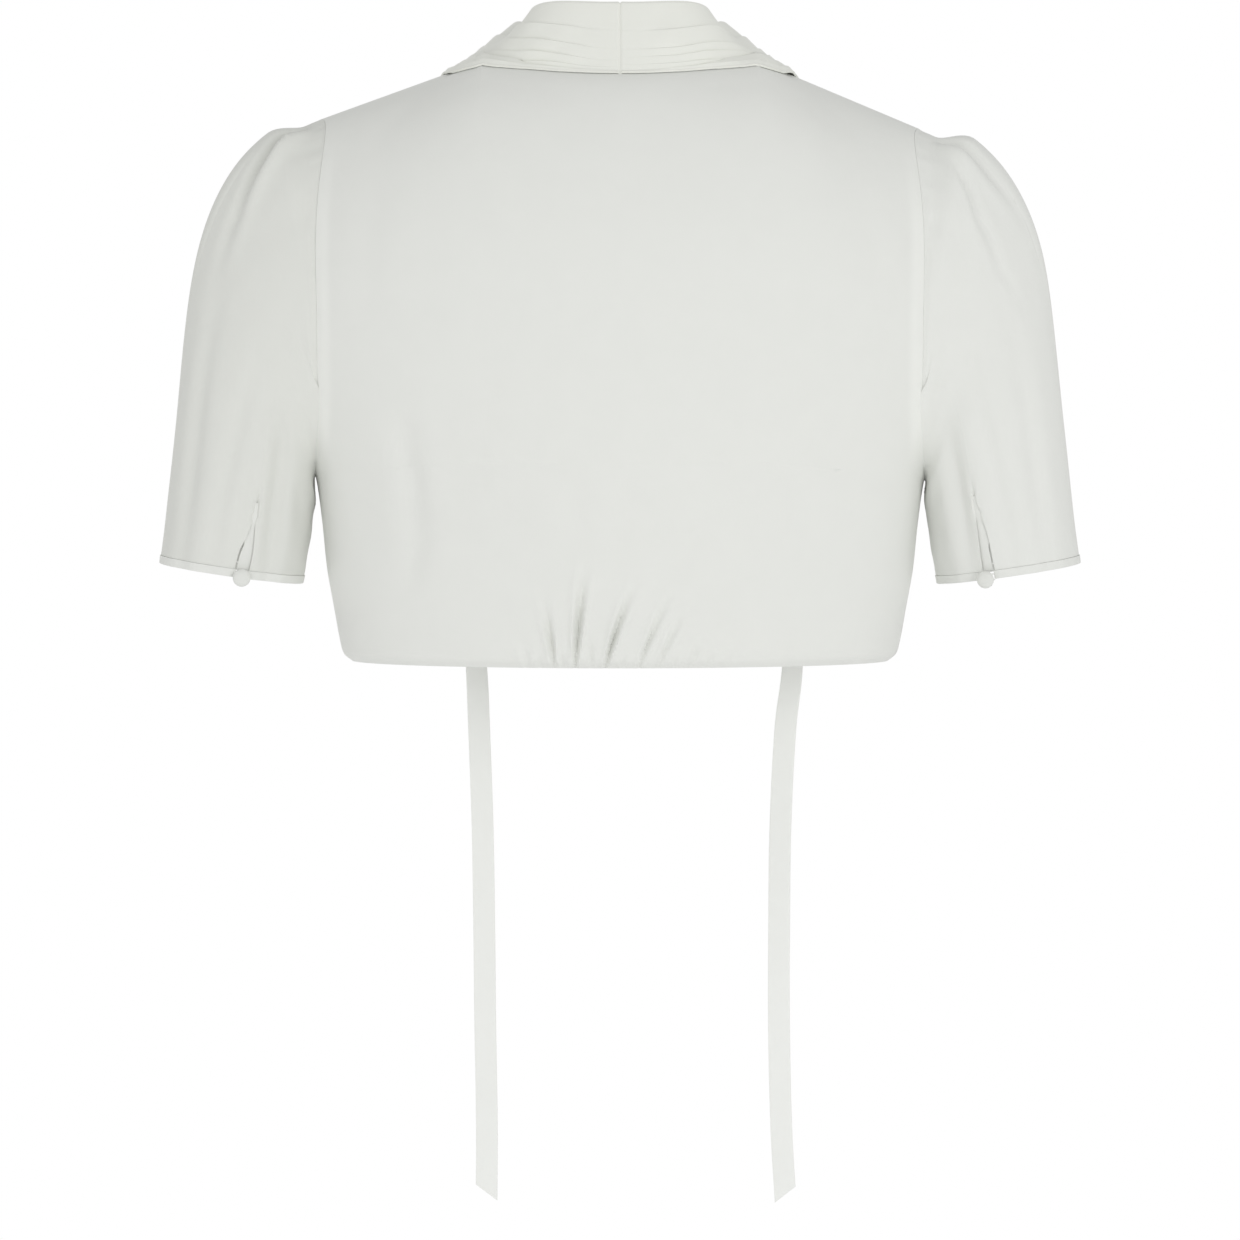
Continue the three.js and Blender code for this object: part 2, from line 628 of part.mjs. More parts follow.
// The binding runs round the hem, from under the button to the outer edge of the slit.
function binding(side, sleeve) {
  const first = BUTTON_ANGLE[side] - BINDING_END.body;
  const last = SLIT[side][0].outer + BINDING_END.outer + 360;
  const steps = 44;
  const places = [-SEAM_GAP, -SEAM_GAP - CUFF.height].map((height) =>
    Array.from({ length: steps + 1 }, (_, j) => [lerp(first, last, j / steps), height]),
  );
  return sleevePatch(sleeve, places, CUFF.proud, CUFF.proud - DOUBLE_CLOTH);
}

// The frame of the button: x along the hem towards the outer edge of the slit, y up the sleeve and
// z outwards, from the outer face of the binding a little above its lower edge.
function buttonFrame(side, sleeve) {
  const height = -SEAM_GAP - CUFF.height - BUTTON.drop + BUTTON.shankRadius;
  const { point, normal, up } = onSleeve(sleeve, BUTTON_ANGLE[side], height);
  const next = onSleeve(sleeve, BUTTON_ANGLE[side] - 1, height).point.sub(point);
  const y = up.addScaledVector(normal, -up.dot(normal)).normalize();
  const x = new THREE.Vector3().crossVectors(y, normal);
  if (x.dot(next) < 0) x.negate();
  const origin = point.addScaledVector(normal, CUFF.proud);
  return new THREE.Matrix4().makeBasis(x, y, normal).setPosition(origin);
}

function button(side, sleeve) {
  const { radius, height, shankRadius, shankHeight } = BUTTON;
  const under = SEAM_GAP + shankHeight;
  const dome = Array.from({ length: 9 }, (_, i) => {
    const turn = (Math.PI / 2) * (i / 8);
    return [radius * Math.cos(turn) ** 0.8, under + 1.2 + (height - 1.2) * Math.sin(turn)];
  });
  const profile = [
    [0, SEAM_GAP],
    [shankRadius, SEAM_GAP],
    [shankRadius, under],
    [radius - 0.6, under],
    [radius, under + 0.5],
    ...dome.slice(0, -1),
    [0, under + height],
  ];
  const solid = new wasm.CrossSection([profile]).revolve(28);
  return toGeometry(solid.transform(buttonFrame(side, sleeve).elements));
}

// Half a ring round the shank of the button, and two threads to the outer end of the binding.
function loop(side, sleeve) {
  const perDegree = (2 * Math.PI * SLEEVE.hemHalfWidth) / 360;
  const reach = (BUTTON_ANGLE[side] - SLIT[side][0].outer - BINDING_END.outer) * perDegree + 1;
  const z = SEAM_GAP + LOOP.radius + 0.1;
  const ring = new wasm.CrossSection([
    Array.from({ length: 8 }, (_, i) => {
      const turn = (Math.PI * i) / 4;
      return [LOOP.turn + LOOP.radius * Math.cos(turn), LOOP.radius * Math.sin(turn)];
    }),
  ])
    .revolve(24, 180)
    .rotate([0, 0, 90])
    .translate([0, 0, z]);
  const thread = (from, to) => {
    const along = new THREE.Vector3().subVectors(to, from);
    const turn = new THREE.Quaternion().setFromUnitVectors(
      new THREE.Vector3(0, 0, 1),
      along.clone().normalize(),
    );
    const place = new THREE.Matrix4().compose(from, turn, new THREE.Vector3(1, 1, 1));
    return wasm.Manifold.cylinder(along.length(), LOOP.radius, LOOP.radius, 8).transform(place.elements);
  };
  const upper = thread(new THREE.Vector3(-0.2, LOOP.turn, z), new THREE.Vector3(reach, 3, z));
  const lower = thread(new THREE.Vector3(-0.2, -LOOP.turn, z), new THREE.Vector3(reach, -0.6, z));
  const solid = wasm.Manifold.union([ring, upper, lower]);
  return toGeometry(solid.transform(buttonFrame(side, sleeve).elements));
}

// The line the collar is sewn to, round the neck from the centre back and down the front edge.
function collarSeam(side, back, front) {
  const top = back.grid.at(-1);
  const middle = (top.length - 1) / 2;
  const step = side === "left" ? -1 : 1;
  const neck = [];
  for (let j = middle; Math.abs(top[j].x) < NECK_HALF_WIDTH + 0.5; j += step) neck.push(top[j]);
  const edge = front.grid.map((row) => row[0]).reverse();
  let at = 0;
  return [...neck, ...edge].map((point, i, line) => {
    if (i > 0) at += point.distanceTo(line[i - 1]);
    return { point, at };
  });
}

// A place on the seam, with the directions the collar is laid out in: up from the panels and over
// them. Before the centre back the seam goes on as its own mirror image.
function seamFrame(side, seam, at) {
  const placeAt = (where) => {
    const distance = Math.abs(where);
    let i = 0;
    while (i < seam.length - 2 && seam[i + 1].at < distance) i += 1;
    const t = (distance - seam[i].at) / (seam[i + 1].at - seam[i].at);
    const point = seam[i].point.clone().lerp(seam[i + 1].point, t);
    return where < 0 ? point.setX(-point.x) : point;
  };
  const along = placeAt(at + 7).sub(placeAt(at - 7)).normalize();
  const of = (column) => valueAt(COLLAR_UP, "at", column, at);
  const up = new THREE.Vector3(SIDES[side] * of("x"), of("y"), of("z"));
  up.projectOnPlane(along).normalize();
  const over = new THREE.Vector3().crossVectors(along, up).multiplyScalar(-SIDES[side]);
  return { point: placeAt(at), up, over };
}

// How far across the collar a share of it lies, and how much of its fall is above that.
function collarPlace(at, share) {
  const of = (column) => valueAt(COLLAR_SECTIONS, "at", column, at);
  const { stand, bend } = COLLAR_PARTS;
  const inBend = clamp01((share - stand) / (bend - stand));
  const inFall = clamp01((share - bend) / (1 - bend));
  const distance = of("stand") * Math.min(share / stand, 1) + of("bend") * inBend + of("fall") * inFall;
  return { distance, inFall };
}

// Where a distance across the collar lies in its section, and which way it faces there.
function collarSection(at, distance) {
  const of = (column) => valueAt(COLLAR_SECTIONS, "at", column, at);
  const [stand, bend] = [of("stand"), of("bend")];
  const lean = radians(of("lean"));
  const roll = radians(of("roll"));
  const inBend = Math.min(Math.max(distance - stand, 0), bend);
  const turn = (roll * inBend) / bend - lean;
  const radius = bend / roll;
  const rest = Math.max(distance - stand - bend, 0);
  return {
    over:
      -Math.min(distance, stand) * Math.sin(lean) +
      radius * (Math.cos(lean) - Math.cos(turn)) +
      rest * Math.sin(turn),
    up:
      Math.min(distance, stand) * Math.cos(lean) +
      radius * (Math.sin(turn) + Math.sin(lean)) +
      rest * Math.cos(turn),
    turn,
  };
}

// The shares that the collar's surface is drawn at, with both sides of each tuck.
function collarShares(tucks) {
  const { bend } = COLLAR_PARTS;
  const edges = tucks.flatMap((t) => [t, t + TUCK_EDGE]).map((t) => lerp(bend, 1, t));
  return [...COLLAR_COLUMNS, ...edges].sort((a, b) => a - b);
}

// How far the tucks lift the cloth of the fall: each layer is highest at its folded upper edge.
function tuckLift(tucks, inFall) {
  const tuck = tucks.filter((t) => inFall > t + TUCK_EDGE / 2).at(-1);
  if (tuck === undefined) return 0;
  const next = tucks.find((t) => t > tuck) ?? 1;
  return clamp01((next - inFall) / (next - tuck - TUCK_EDGE));
}

function collar(side, back, front) {
  const seam = collarSeam(side, back, front);
  const stations = [
    COLLAR_START,
    ...seam.map(({ at }) => at).filter((at, i, all) => at > 2 && at < COLLAR_END - 8 && at - all[i - 1] > 1),
    COLLAR_END,
  ];
  const tucks = TUCKS[side];
  const shares = collarShares(tucks);
  const panels = [back, front].flatMap(({ grid, normals }) =>
    grid.flatMap((row, i) => row.map((point, j) => ({ point, normal: normals[i][j] }))),
  );
  // Points too close to the panels are moved out from them.
  const clear = (point, distance) => {
    const wanted = Math.min(COLLAR_CLEARANCE, 0.4 + 0.7 * distance);
    const near = panels.reduce((best, p) =>
      point.distanceToSquared(p.point) < point.distanceToSquared(best.point) ? p : best,
    );
    const height = new THREE.Vector3().subVectors(point, near.point).dot(near.normal);
    return height < wanted ? point.addScaledVector(near.normal, wanted - height) : point;
  };
  const facings = [];
  const middle = stations.map((at) => {
    const frame = seamFrame(side, seam, at);
    const facingRow = [];
    const row = shares.map((share) => {
      const { distance } = collarPlace(at, share);
      const { over, up, turn } = collarSection(at, distance);
      facingRow.push(
        frame.over.clone().multiplyScalar(Math.cos(turn)).addScaledVector(frame.up, -Math.sin(turn)),
      );
      const point = frame.point
        .clone()
        .addScaledVector(frame.up, up + SEAM_GAP + 0.05)
        .addScaledVector(frame.over, over);
      return clear(point, distance);
    });
    facings.push(facingRow);
    return row;
  });
  const normals = gridNormals(middle, (_, i, j) => facings[i][j]);
  normals[0].forEach((n) => n.setX(0).normalize());
  const face = (depth) =>
    middle.map((row, i) =>
      row.map((point, j) => {
        const full = smooth(stations[i] / TUCK_HEIGHT.fullFrom);
        const height = lerp(TUCK_HEIGHT.centreBack, TUCK_HEIGHT.side, full);
        const lift = height * tuckLift(tucks, collarPlace(stations[i], shares[j]).inFall);
        return point.clone().addScaledVector(normals[i][j], depth - lift);
      }),
    );
  return wallBetween(face(DOUBLE_CLOTH / 2), face(-DOUBLE_CLOTH / 2));
}

// The place on a front panel at a distance out from the centre and a height near the hem.
function frontPlace(side, x, z) {
  const share = Math.max(0, (z - HEM_HEIGHT) / (NECK_SIDE_RISE - HEM_HEIGHT));
  const { halfWidth, start, end } = ellipseAt("front", share);
  const across = (Math.asin(x / halfWidth) - start) / (end - start);
  const at = (a, s) => frontPoint(side, a, s);
  const point = at(across, share);
  const along = at(across + 0.01, share).sub(point);
  const up = at(across, share + 0.01).sub(point);
  const normal = along.cross(up).normalize();
  return { point, normal: normal.y > 0 ? normal.negate() : normal };
}

function tie(side) {
  const sign = SIDES[side];
  const drift = TIE_DRIFT[side];
  const bottom = drift[0].height;
  const rows = [
    ...Array.from({ length: TIE_ROWS.below }, (_, i) =>
      lerp(bottom, HEM_HEIGHT, 1 - (1 - i / TIE_ROWS.below) ** 1.5),
    ),
    ...Array.from({ length: TIE_ROWS.inside + 1 }, (_, i) =>
      lerp(HEM_HEIGHT, TIE.top, (i / TIE_ROWS.inside) ** 1.4),
    ),
  ];
  const grid = rows.map((height) =>
    [-1, 0, 1].map((column) => {
      const slanted = clamp01((HEM_HEIGHT - height) / (HEM_HEIGHT - bottom)) ** 3;
      const z = height + (slanted * TIE.slant * (column + 1)) / 2;
      const centre = valueAt(drift, "height", "x", z);
      const { point, normal } = frontPlace(side, centre, Math.max(z, HEM_HEIGHT));
      const hanging = smooth((HEM_HEIGHT - z) / 60);
      const down = (TIE.top - z) / (TIE.top - HEM_HEIGHT);
      const behind = lerp(TIE.behind.top, TIE.behind.hem, smooth(down));
      const facing = normal.clone().lerp(new THREE.Vector3(0, -1, 0), 0.7 * hanging).normalize();
      const across = new THREE.Vector3(-facing.y, facing.x, 0).normalize().multiplyScalar(sign);
      return point
        .clone()
        .setZ(z)
        .addScaledVector(normal, -behind)
        .addScaledVector(across, (column * TIE.width) / 2);
    }),
  );
  const normals = gridNormals(grid, () => new THREE.Vector3(0, -1, 0));
  const face = (depth) => movedGrid(grid, normals, depth);
  return wallBetween(face(DOUBLE_CLOTH / 2), face(-DOUBLE_CLOTH / 2));
}

const group = new THREE.Group();

function addMesh(name, geometry, colour) {
  const material = new THREE.MeshStandardMaterial({ color: colour, roughness: 0.85, metalness: 0 });
  const mesh = new THREE.Mesh(geometry, material);
  mesh.name = name;
  group.add(mesh);
}

const back = backPanel();
const fronts = { left: frontPanel("left"), right: frontPanel("right") };
addMesh("back", panelWall(back), COLOURS.cloth);
for (const side of Object.keys(SIDES)) {
  addMesh(`front_${side}`, panelWall(fronts[side]), COLOURS.cloth);
  const sleeve = sleeveWall(side, back, fronts[side]);
  addMesh(`sleeve_${side}`, slitSleeve(side, sleeve), COLOURS.cloth);
  addMesh(`underlap_${side}`, underlap(side, sleeve), COLOURS.cloth);
  addMesh(`binding_${side}`, binding(side, sleeve), COLOURS.cloth);
  addMesh(`button_${side}`, button(side, sleeve), COLOURS.button);
  addMesh(`loop_${side}`, loop(side, sleeve), COLOURS.cloth);
  addMesh(`collar_${side}`, collar(side, back, fronts[side]), COLOURS.collar);
  addMesh(`tie_${side}`, tie(side), COLOURS.tie);
}

export default group;
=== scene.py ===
"""Dresses the blouse: fine cloth surfaces with their folds, materials, lights and camera."""

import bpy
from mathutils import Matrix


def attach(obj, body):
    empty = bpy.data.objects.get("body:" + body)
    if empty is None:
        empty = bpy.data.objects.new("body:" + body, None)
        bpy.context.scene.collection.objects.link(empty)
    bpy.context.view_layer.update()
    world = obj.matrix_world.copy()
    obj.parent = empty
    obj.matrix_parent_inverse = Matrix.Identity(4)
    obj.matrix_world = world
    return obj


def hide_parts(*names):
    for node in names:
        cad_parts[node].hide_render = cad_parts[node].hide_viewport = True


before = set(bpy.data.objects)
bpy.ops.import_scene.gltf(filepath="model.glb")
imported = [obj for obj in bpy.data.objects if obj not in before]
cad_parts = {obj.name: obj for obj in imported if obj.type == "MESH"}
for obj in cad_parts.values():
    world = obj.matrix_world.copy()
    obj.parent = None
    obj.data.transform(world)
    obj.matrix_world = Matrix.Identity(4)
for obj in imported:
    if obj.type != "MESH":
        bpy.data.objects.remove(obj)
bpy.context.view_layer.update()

import math

import bpy
import numpy as np
from mathutils import Vector
from mathutils.kdtree import KDTree

MM = 0.001
SIDES = {"left": 1, "right": -1}

# Sizes in millimetres, most of them those of part.mjs. Here the cloth is thinner and the
# sleeves are fuller.
CLOTH = 0.8
DOUBLE = 1.3
SIDE_GAP = 0.15
NECK_HALF_WIDTH = 88.0
NECK_DEPTH = 66.0
NECK_SIDE_RISE = 11.0
SHOULDER_HALF_WIDTH = 191.0
SHOULDER_SOFTENING = 32
SHOULDER_TIP = {"left": -26.0, "right": -32.0}
HEM_HEIGHT = -372.0
UNDERARM_SHARE = 0.34
ARMHOLE_DEPTH = {"back": 54.0, "front": 48.0}
TORSO = {
    "share": [0.0, 0.012, 0.035, 0.1, 0.17, 0.26, 0.34, 0.45, 0.57, 0.7, 0.85, 1.0],
    "half_width": [172, 177, 179.5, 183.6, 187.8, 191, 195, 204.5, 214, 218, 219, 214],
    "back_depth": [93, 98, 101, 103, 105, 107, 109, 112, 113, 112, 108, 103],
    "front_depth": [96, 101, 103, 106, 110, 115, 119, 121, 121, 112, 102, 94],
    "front_edge": [92, 92, 92, 90, 88, 86, 84, 82, 81, 82, 85, 88],
}
ROUNDING = {"back": (0.66, 2.1), "front": (0.5, 2.0)}
BUST = {"x": 96, "height": -186, "rise": 13, "half_width": 48, "half_height": 52}

SLEEVE_HEM = (248.8, 0.0, -310.6)
SLEEVE_HALF_WIDTH = 46.0
SLEEVE_HALF_DEPTH = 49.0
SLEEVE_TILT = math.radians(8.3)
SLEEVE_CURVE = {
    "leave": {"top": 106, "side": 30, "under": 3},
    "lift": {"top": -18, "side": 0, "under": 0},
    "arrive": {"top": 197, "side": 105, "under": 26},
}
BINDING_HEIGHT = 5.2
BINDING_DROP = 0.3
BINDING_LAP = 1.2
SLIT = {
    "left": {"height": [-1, 11, 21, 28, 37], "body": [107.9, 108.8, 108.4, 107.8, 107.0],
             "outer": [96.5, 98.2, 102.2, 104.4, 106.2]},
    "right": {"height": [-1, 11, 22, 33, 42], "body": [114.8, 114.8, 114.4, 114.1, 113.8],
              "outer": [104.6, 105.5, 106.4, 108.8, 113.0]},
}
BUTTON_ANGLE = {"left": 102.8, "right": 111.6}

COLLAR = {
    "at": [0, 50, 80, 104, 125, 150, 185, 260, 400, 470, 530],
    "lean": [20, 20, 28, 50, 61, 55, 40, 28, 24, 24, 24],
    "stand": [43.2, 41.6, 38.8, 36.2, 33.4, 28.5, 20, 9, 3.5, 3.5, 3.5],
    "roll": [178, 178, 178, 178, 176, 168, 154, 134, 126, 126, 128],
    "bend": [5.8, 5.8, 5.8, 5.6, 5.6, 6.5, 8, 10, 11, 11, 11],
    "fall": [47, 48, 54, 60, 59, 60, 65, 60, 46, 32, 14],
}
COLLAR_UP = {
    "at": [0, 50, 95, 105, 113, 126, 138, 150, 184, 260, 320, 400, 522],
    "x": [0, -0.1, -0.18, -0.14, -0.02, 0.22, 0.33, 0.31, 0.27, 0.24, 0.19, 0.18, 0.31],
    "y": [0.06, 0.07, 0.02, 0.03, 0.04, -0.09, -0.36, -0.52, -0.76, -0.89, -0.9, -0.96, -0.94],
    "z": [1, 0.99, 0.98, 0.99, 1, 0.97, 0.87, 0.8, 0.59, 0.39, 0.39, -0.23, -0.13],
}
COLLAR_END = 522.0
COLLAR_PARTS = (0.2, 0.36)
TUCKS = {"left": [0.24, 0.45, 0.63, 0.78, 0.91], "right": [0.27, 0.5, 0.62, 0.76, 0.9]}

TIE_WIDTH = 14.4
TIE_TOP = -352.0
TIE_SLANT = 11.0
TIE_DRIFT = {
    "height": [-738, -690, -620, -555, -490, -423, -385, -352],
    "left": [89.2, 88.9, 89.9, 90.5, 91.5, 93.8, 95.4, 98.5],
    "right": [110.6, 107.7, 106, 106, 106.7, 110, 114.3, 114],
}

# Gathers at the back hem: place on the hem, sideways lean, length, depth and half width.
GATHERS = [
    (58, 3, 20, 1.2, 2.0), (50, 1, 10, 1.0, 1.5), (41, 8, 52, 3.4, 1.5), (35, 2, 12, 1.2, 1.3),
    (28, -7, 74, 4.8, 1.6), (18, 1, 22, 1.6, 1.5), (9, -20, 60, 4.6, 1.5), (-1, -3, 12, 1.2, 1.4),
    (-12, -24, 56, 2.8, 1.5), (-24, -20, 44, 2.0, 1.5), (-33, -5, 13, 1.2, 1.4),
    (-44, -8, 22, 1.4, 1.7), (-56, -5, 13, 1.1, 1.6), (-68, -4, 14, 0.9, 1.9),
]
# Creases of the back: a path of x and z, depth and half width.
BACK_CREASES = [
    (((136, -218), (131, -252), (127, -292), (132, -330)), 2.6, 7.0),
    (((25, -292), (28, -268), (25, -240)), 0.5, 6.0),
    (((3, -300), (-4, -276), (-6, -244)), 0.5, 6.5),
    (((-30, -318), (-44, -296), (-52, -262)), 0.6, 7.0),
    (((150, -60), (158, -110), (160, -170)), 0.9, 10.0),
    (((-148, -62), (-157, -105), (-161, -165)), 0.9, 10.0),
    (((-168, -262), (-130, -276), (-96, -284)), 0.8, 8.0),
    (((168, -258), (140, -268), (108, -272)), 0.8, 8.0),
]
# Easing of the fronts above the ties: place, lean, length, depth and half width.
FRONT_EASING = [(108, 6, 90, 1.6, 7), (128, 10, 120, 1.8, 9), (152, 8, 80, 1.4, 9)]


def clamp01(t):
    return np.clip(t, 0.0, 1.0)


def smooth(t):
    t = clamp01(t)
    return t * t * (3 - 2 * t)


def bell(t):
    return np.exp(-np.square(t))


def lerp(a, b, t):
    return a + (b - a) * t


def curve(table, key, column, at):
    """The value of a column between the rows of a table, on a smooth curve through them."""
    xs, ys = np.array(table[key], float), np.array(table[column], float)
    last = len(xs) - 1
    rows = np.arange(last + 1)
    before, after = np.maximum(rows - 1, 0), np.minimum(rows + 1, last)
    slopes = (ys[after] - ys[before]) / (xs[after] - xs[before])
    at = np.asarray(at, float)
    i = np.clip(np.searchsorted(xs, at, side="right") - 1, 0, last - 1)
    span = xs[i + 1] - xs[i]
    t = clamp01((at - xs[i]) / span)
    t2, t3 = t * t, t * t * t
    return (ys[i] * (2 * t3 - 3 * t2 + 1) + slopes[i] * span * (t3 - 2 * t2 + t)
            + ys[i + 1] * (3 * t2 - 2 * t3) + slopes[i + 1] * span * (t3 - t2))


# Grids of points, as arrays of rows, columns and coordinates
def unit(v):
    return v / np.maximum(np.linalg.norm(v, axis=-1, keepdims=True), 1e-9)


def grid_normals(grid, facing, closed=False):
    if closed:
        along = np.roll(grid, -1, axis=1) - np.roll(grid, 1, axis=1)
    else:
        along = np.gradient(grid, axis=1)
    up = np.gradient(grid, axis=0)
    normals = unit(np.cross(along, up))
    flip = np.sum(normals * facing, axis=-1, keepdims=True) < 0
    return np.where(flip, -normals, normals)


def wrinkles(shape, seed, along, across, closed=False):
    """Seeded soft noise over a grid, from -1 to 1, with about so many waves along and across."""
    rng = np.random.default_rng(seed)
    u = np.linspace(0, 1, shape[0])[:, None]
    v = np.linspace(0, 1, shape[1], endpoint=not closed)[None, :]
    total = np.zeros(shape)
    for _ in range(14):
        a = rng.uniform(0.3, 1.0) * along
        b = rng.uniform(0.3, 1.0) * across
        if closed:
            b = round(b)
        total += rng.uniform(0.4, 1) * np.sin(
            2 * np.pi * (a * u + rng.choice([-1, 1]) * b * v + rng.uniform()))
    return total / np.abs(total).max()


def placed_object(name, data):
    obj = bpy.data.objects.new(name, data)
    bpy.context.scene.collection.objects.link(obj)
    return obj


def add_object(name, vertices, faces, material, replaces):
    """A piece of the blouse, from points in millimetres, that stands for the nodes it replaces."""
    mesh = bpy.data.meshes.new(name)
    mesh.from_pydata([tuple(v) for v in np.asarray(vertices) * MM], [], faces)
    mesh.validate()
    mesh.update()
    obj = placed_object(name, mesh)
    mesh.materials.append(material)
    for polygon in mesh.polygons:
        polygon.use_smooth = True
    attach(obj, "root")
    for node in replaces:
        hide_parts(node)
    return obj


def wall(name, outer, inner, material, replaces, doubled_and_painted_highlight=None):
    """A closed wall of cloth between two grids.

    doubled says how far a seam allowance under it shows, from 0 to 1; there the cloth is painted
    whiter, partly for the doubled cloth and partly as a painted highlight."""
    rows, columns = outer.shape[:2]
    count = rows * columns
    at = np.arange(count).reshape(rows, columns)
    a, b, c, d = at[:-1, :-1], at[:-1, 1:], at[1:, 1:], at[1:, :-1]

    def rim(e, f, turned_round=False):
        corners = [e, e + count, f + count, f] if turned_round else [e, f, f + count, e + count]
        return np.stack(corners, -1).reshape(-1, 4)

    faces = np.concatenate([
        np.stack([a, b, c, d], -1).reshape(-1, 4),
        np.stack([a, d, c, b], -1).reshape(-1, 4) + count,
        rim(at[0, :-1], at[0, 1:], True), rim(at[-1, :-1], at[-1, 1:]),
        rim(at[:-1, 0], at[1:, 0]), rim(at[:-1, -1], at[1:, -1], True)])
    points = np.concatenate([outer.reshape(-1, 3), inner.reshape(-1, 3)])
    corners = points[faces]
    volume = np.sum(corners[:, 0] * np.cross(corners[:, 1], corners[:, 2] + corners[:, 3]))
    if volume < 0:
        faces = faces[:, ::-1]
    obj = add_object(name, points, faces.tolist(), material, replaces)
    if doubled_and_painted_highlight is not None:
        layer = obj.data.attributes.new("doubled_and_painted_highlight", "FLOAT", "POINT")
        layer.data.foreach_set("value", np.tile(doubled_and_painted_highlight.reshape(-1), 2).astype(np.float32))
    crisp_edges(obj)
    return obj


def crisp_edges(obj, degrees=50):
    """Marks the sharp edges, so that only the faces of the cloth shade softly."""
    mesh = obj.data
    normals = np.array([p.normal[:] for p in mesh.polygons])
    limit = math.cos(math.radians(degrees))
    pair = {}
    for index, polygon in enumerate(mesh.polygons):
        for key in polygon.edge_keys:
            pair.setdefault(key, []).append(index)
    for edge in mesh.edges:
        sides = pair[edge.key]
        if len(sides) == 2 and float(normals[sides[0]] @ normals[sides[1]]) < limit:
            edge.use_edge_sharp = True


# The figure the panels follow
def top_height(side, x):
    t = (x - NECK_HALF_WIDTH) / (SHOULDER_HALF_WIDTH - NECK_HALF_WIDTH)
    return np.where(x < NECK_HALF_WIDTH, NECK_SIDE_RISE * np.square(x / NECK_HALF_WIDTH),
                    lerp(NECK_SIDE_RISE, SHOULDER_TIP[side], t))


def armhole_depth(face, share):
    t = clamp01((share - UNDERARM_SHARE) / (1 - UNDERARM_SHARE))
    return 2 * ARMHOLE_DEPTH[face] * np.sqrt(t * (1 - t))


def shoulder_round(face, share):
    start, power = ROUNDING[face]
    return (1 - clamp01((share - start) / (1 - start)) ** power) ** (1 / power)


def ellipse_at(face, share):
    below = np.minimum(share, 0.9995)
    half_width = curve(TORSO, "share", "half_width", share)

    def end_of(side):
        depth = curve(TORSO, "share", side + "_depth", share)
        return np.arccos(armhole_depth(side, below) / (depth * shoulder_round(side, below))), depth

    back_end, back_depth = end_of("back")
    if face == "back":
        return {"depth": back_depth, "end": back_end, "half_width": half_width}
    end, depth = end_of("front")
    half_width = half_width * np.sin(back_end) / np.sin(end)
    start = np.arcsin(curve(TORSO, "share", "front_edge", share) / half_width)
    return {"depth": depth, "end": end, "half_width": half_width, "start": start}


def back_turn(ellipse, across):
    quarter = math.pi / 2
    return quarter * across * (1 - across * (1 - ellipse["end"] / quarter))


def back_points(across, share):
    """Points of the back panel. across runs from -1 at the right side to 1 at the left side."""
    far = np.abs(across)
    ellipse, top = ellipse_at("back", share), ellipse_at("back", np.ones_like(share))
    turn = back_turn(ellipse, far)
    x = ellipse["half_width"] * np.sin(turn)
    top_x = top["half_width"] * np.sin(back_turn(top, far))

    def height_at(far_out):
        return np.where(across > 0, top_height("left", far_out), top_height("right", far_out))

    # The corner between the neck and the shoulder is only in the edge, not in the cloth below it.
    steps = np.linspace(-SHOULDER_SOFTENING, SHOULDER_SOFTENING, 13)
    soft = [height_at(np.abs(top_x + step)) for step in steps]
    z = lerp(HEM_HEIGHT, lerp(np.mean(soft, axis=0), height_at(top_x), share ** 12), share)
    round_ = shoulder_round("back", share)
    reach = lerp(NECK_HALF_WIDTH, SHOULDER_HALF_WIDTH - 4, round_)
    neck = np.maximum(0, 1 - np.square(x / reach)) ** lerp(0.5, 1.6, np.minimum(1, 2 * round_))
    y = round_ * ellipse["depth"] * np.cos(turn) + (1 - round_) * NECK_DEPTH * neck + SIDE_GAP
    return np.stack([np.sign(across) * x, y, z], -1)


def front_points(side, across, share):
    """Points of a front panel. across is 0 at the front edge and 1 at the side."""
    ellipse, top = ellipse_at("front", share), ellipse_at("front", np.ones_like(share))
    turn = lerp(ellipse["start"], ellipse["end"], across)
    x = ellipse["half_width"] * np.sin(turn)
    top_x = top["half_width"] * np.sin(lerp(top["start"], top["end"], across))
    z = lerp(HEM_HEIGHT, top_height(side, np.maximum(top_x, NECK_HALF_WIDTH)), share)
    bust = (BUST["rise"] * bell((x - BUST["x"]) / BUST["half_width"])
            * bell((z - BUST["height"]) / BUST["half_height"]))
    y = shoulder_round("front", share) * ellipse["depth"] * np.cos(turn) + bust + SIDE_GAP
    return np.stack([SIDES[side] * x, -y, z], -1)


BODY_ROWS, ARMHOLE_ROWS = 64, 76


def shares():
    """The rows' shares of the height. Those of the armhole are close together at its two ends."""
    body = UNDERARM_SHARE * (np.arange(BODY_ROWS) / BODY_ROWS) ** 1.4
    down = (1 + np.cos(np.pi * np.arange(ARMHOLE_ROWS + 1) / ARMHOLE_ROWS)) / 2
    return np.concatenate([body, lerp(1, UNDERARM_SHARE, down)])


def neck_column():
    top = ellipse_at("back", np.ones(1))
    across = np.linspace(0, 1, 4001)
    x = top["half_width"] * np.sin(back_turn(top, across))
    return float(across[np.searchsorted(x, NECK_HALF_WIDTH)])


def back_columns():
    neck = neck_column()
    half = np.concatenate([np.linspace(0, neck, 72)[:-1], np.linspace(neck, 1, 44)])
    return np.concatenate([-half[:0:-1], half])


def outwards(grid):
    facing = grid.copy()
    facing[..., 2] = 40
    return facing


def panel_normals(grid, side_columns):
    """Normals that stand square to the side seams and the shoulder seams, where two walls meet."""
    normals = grid_normals(grid, outwards(grid))
    top = np.abs(grid[-1, :, 0]) > NECK_HALF_WIDTH - 1
    normals[-1, top, 1] = 0
    for j in side_columns:
        normals[:BODY_ROWS + 1, j, 1] = 0
    return unit(normals)


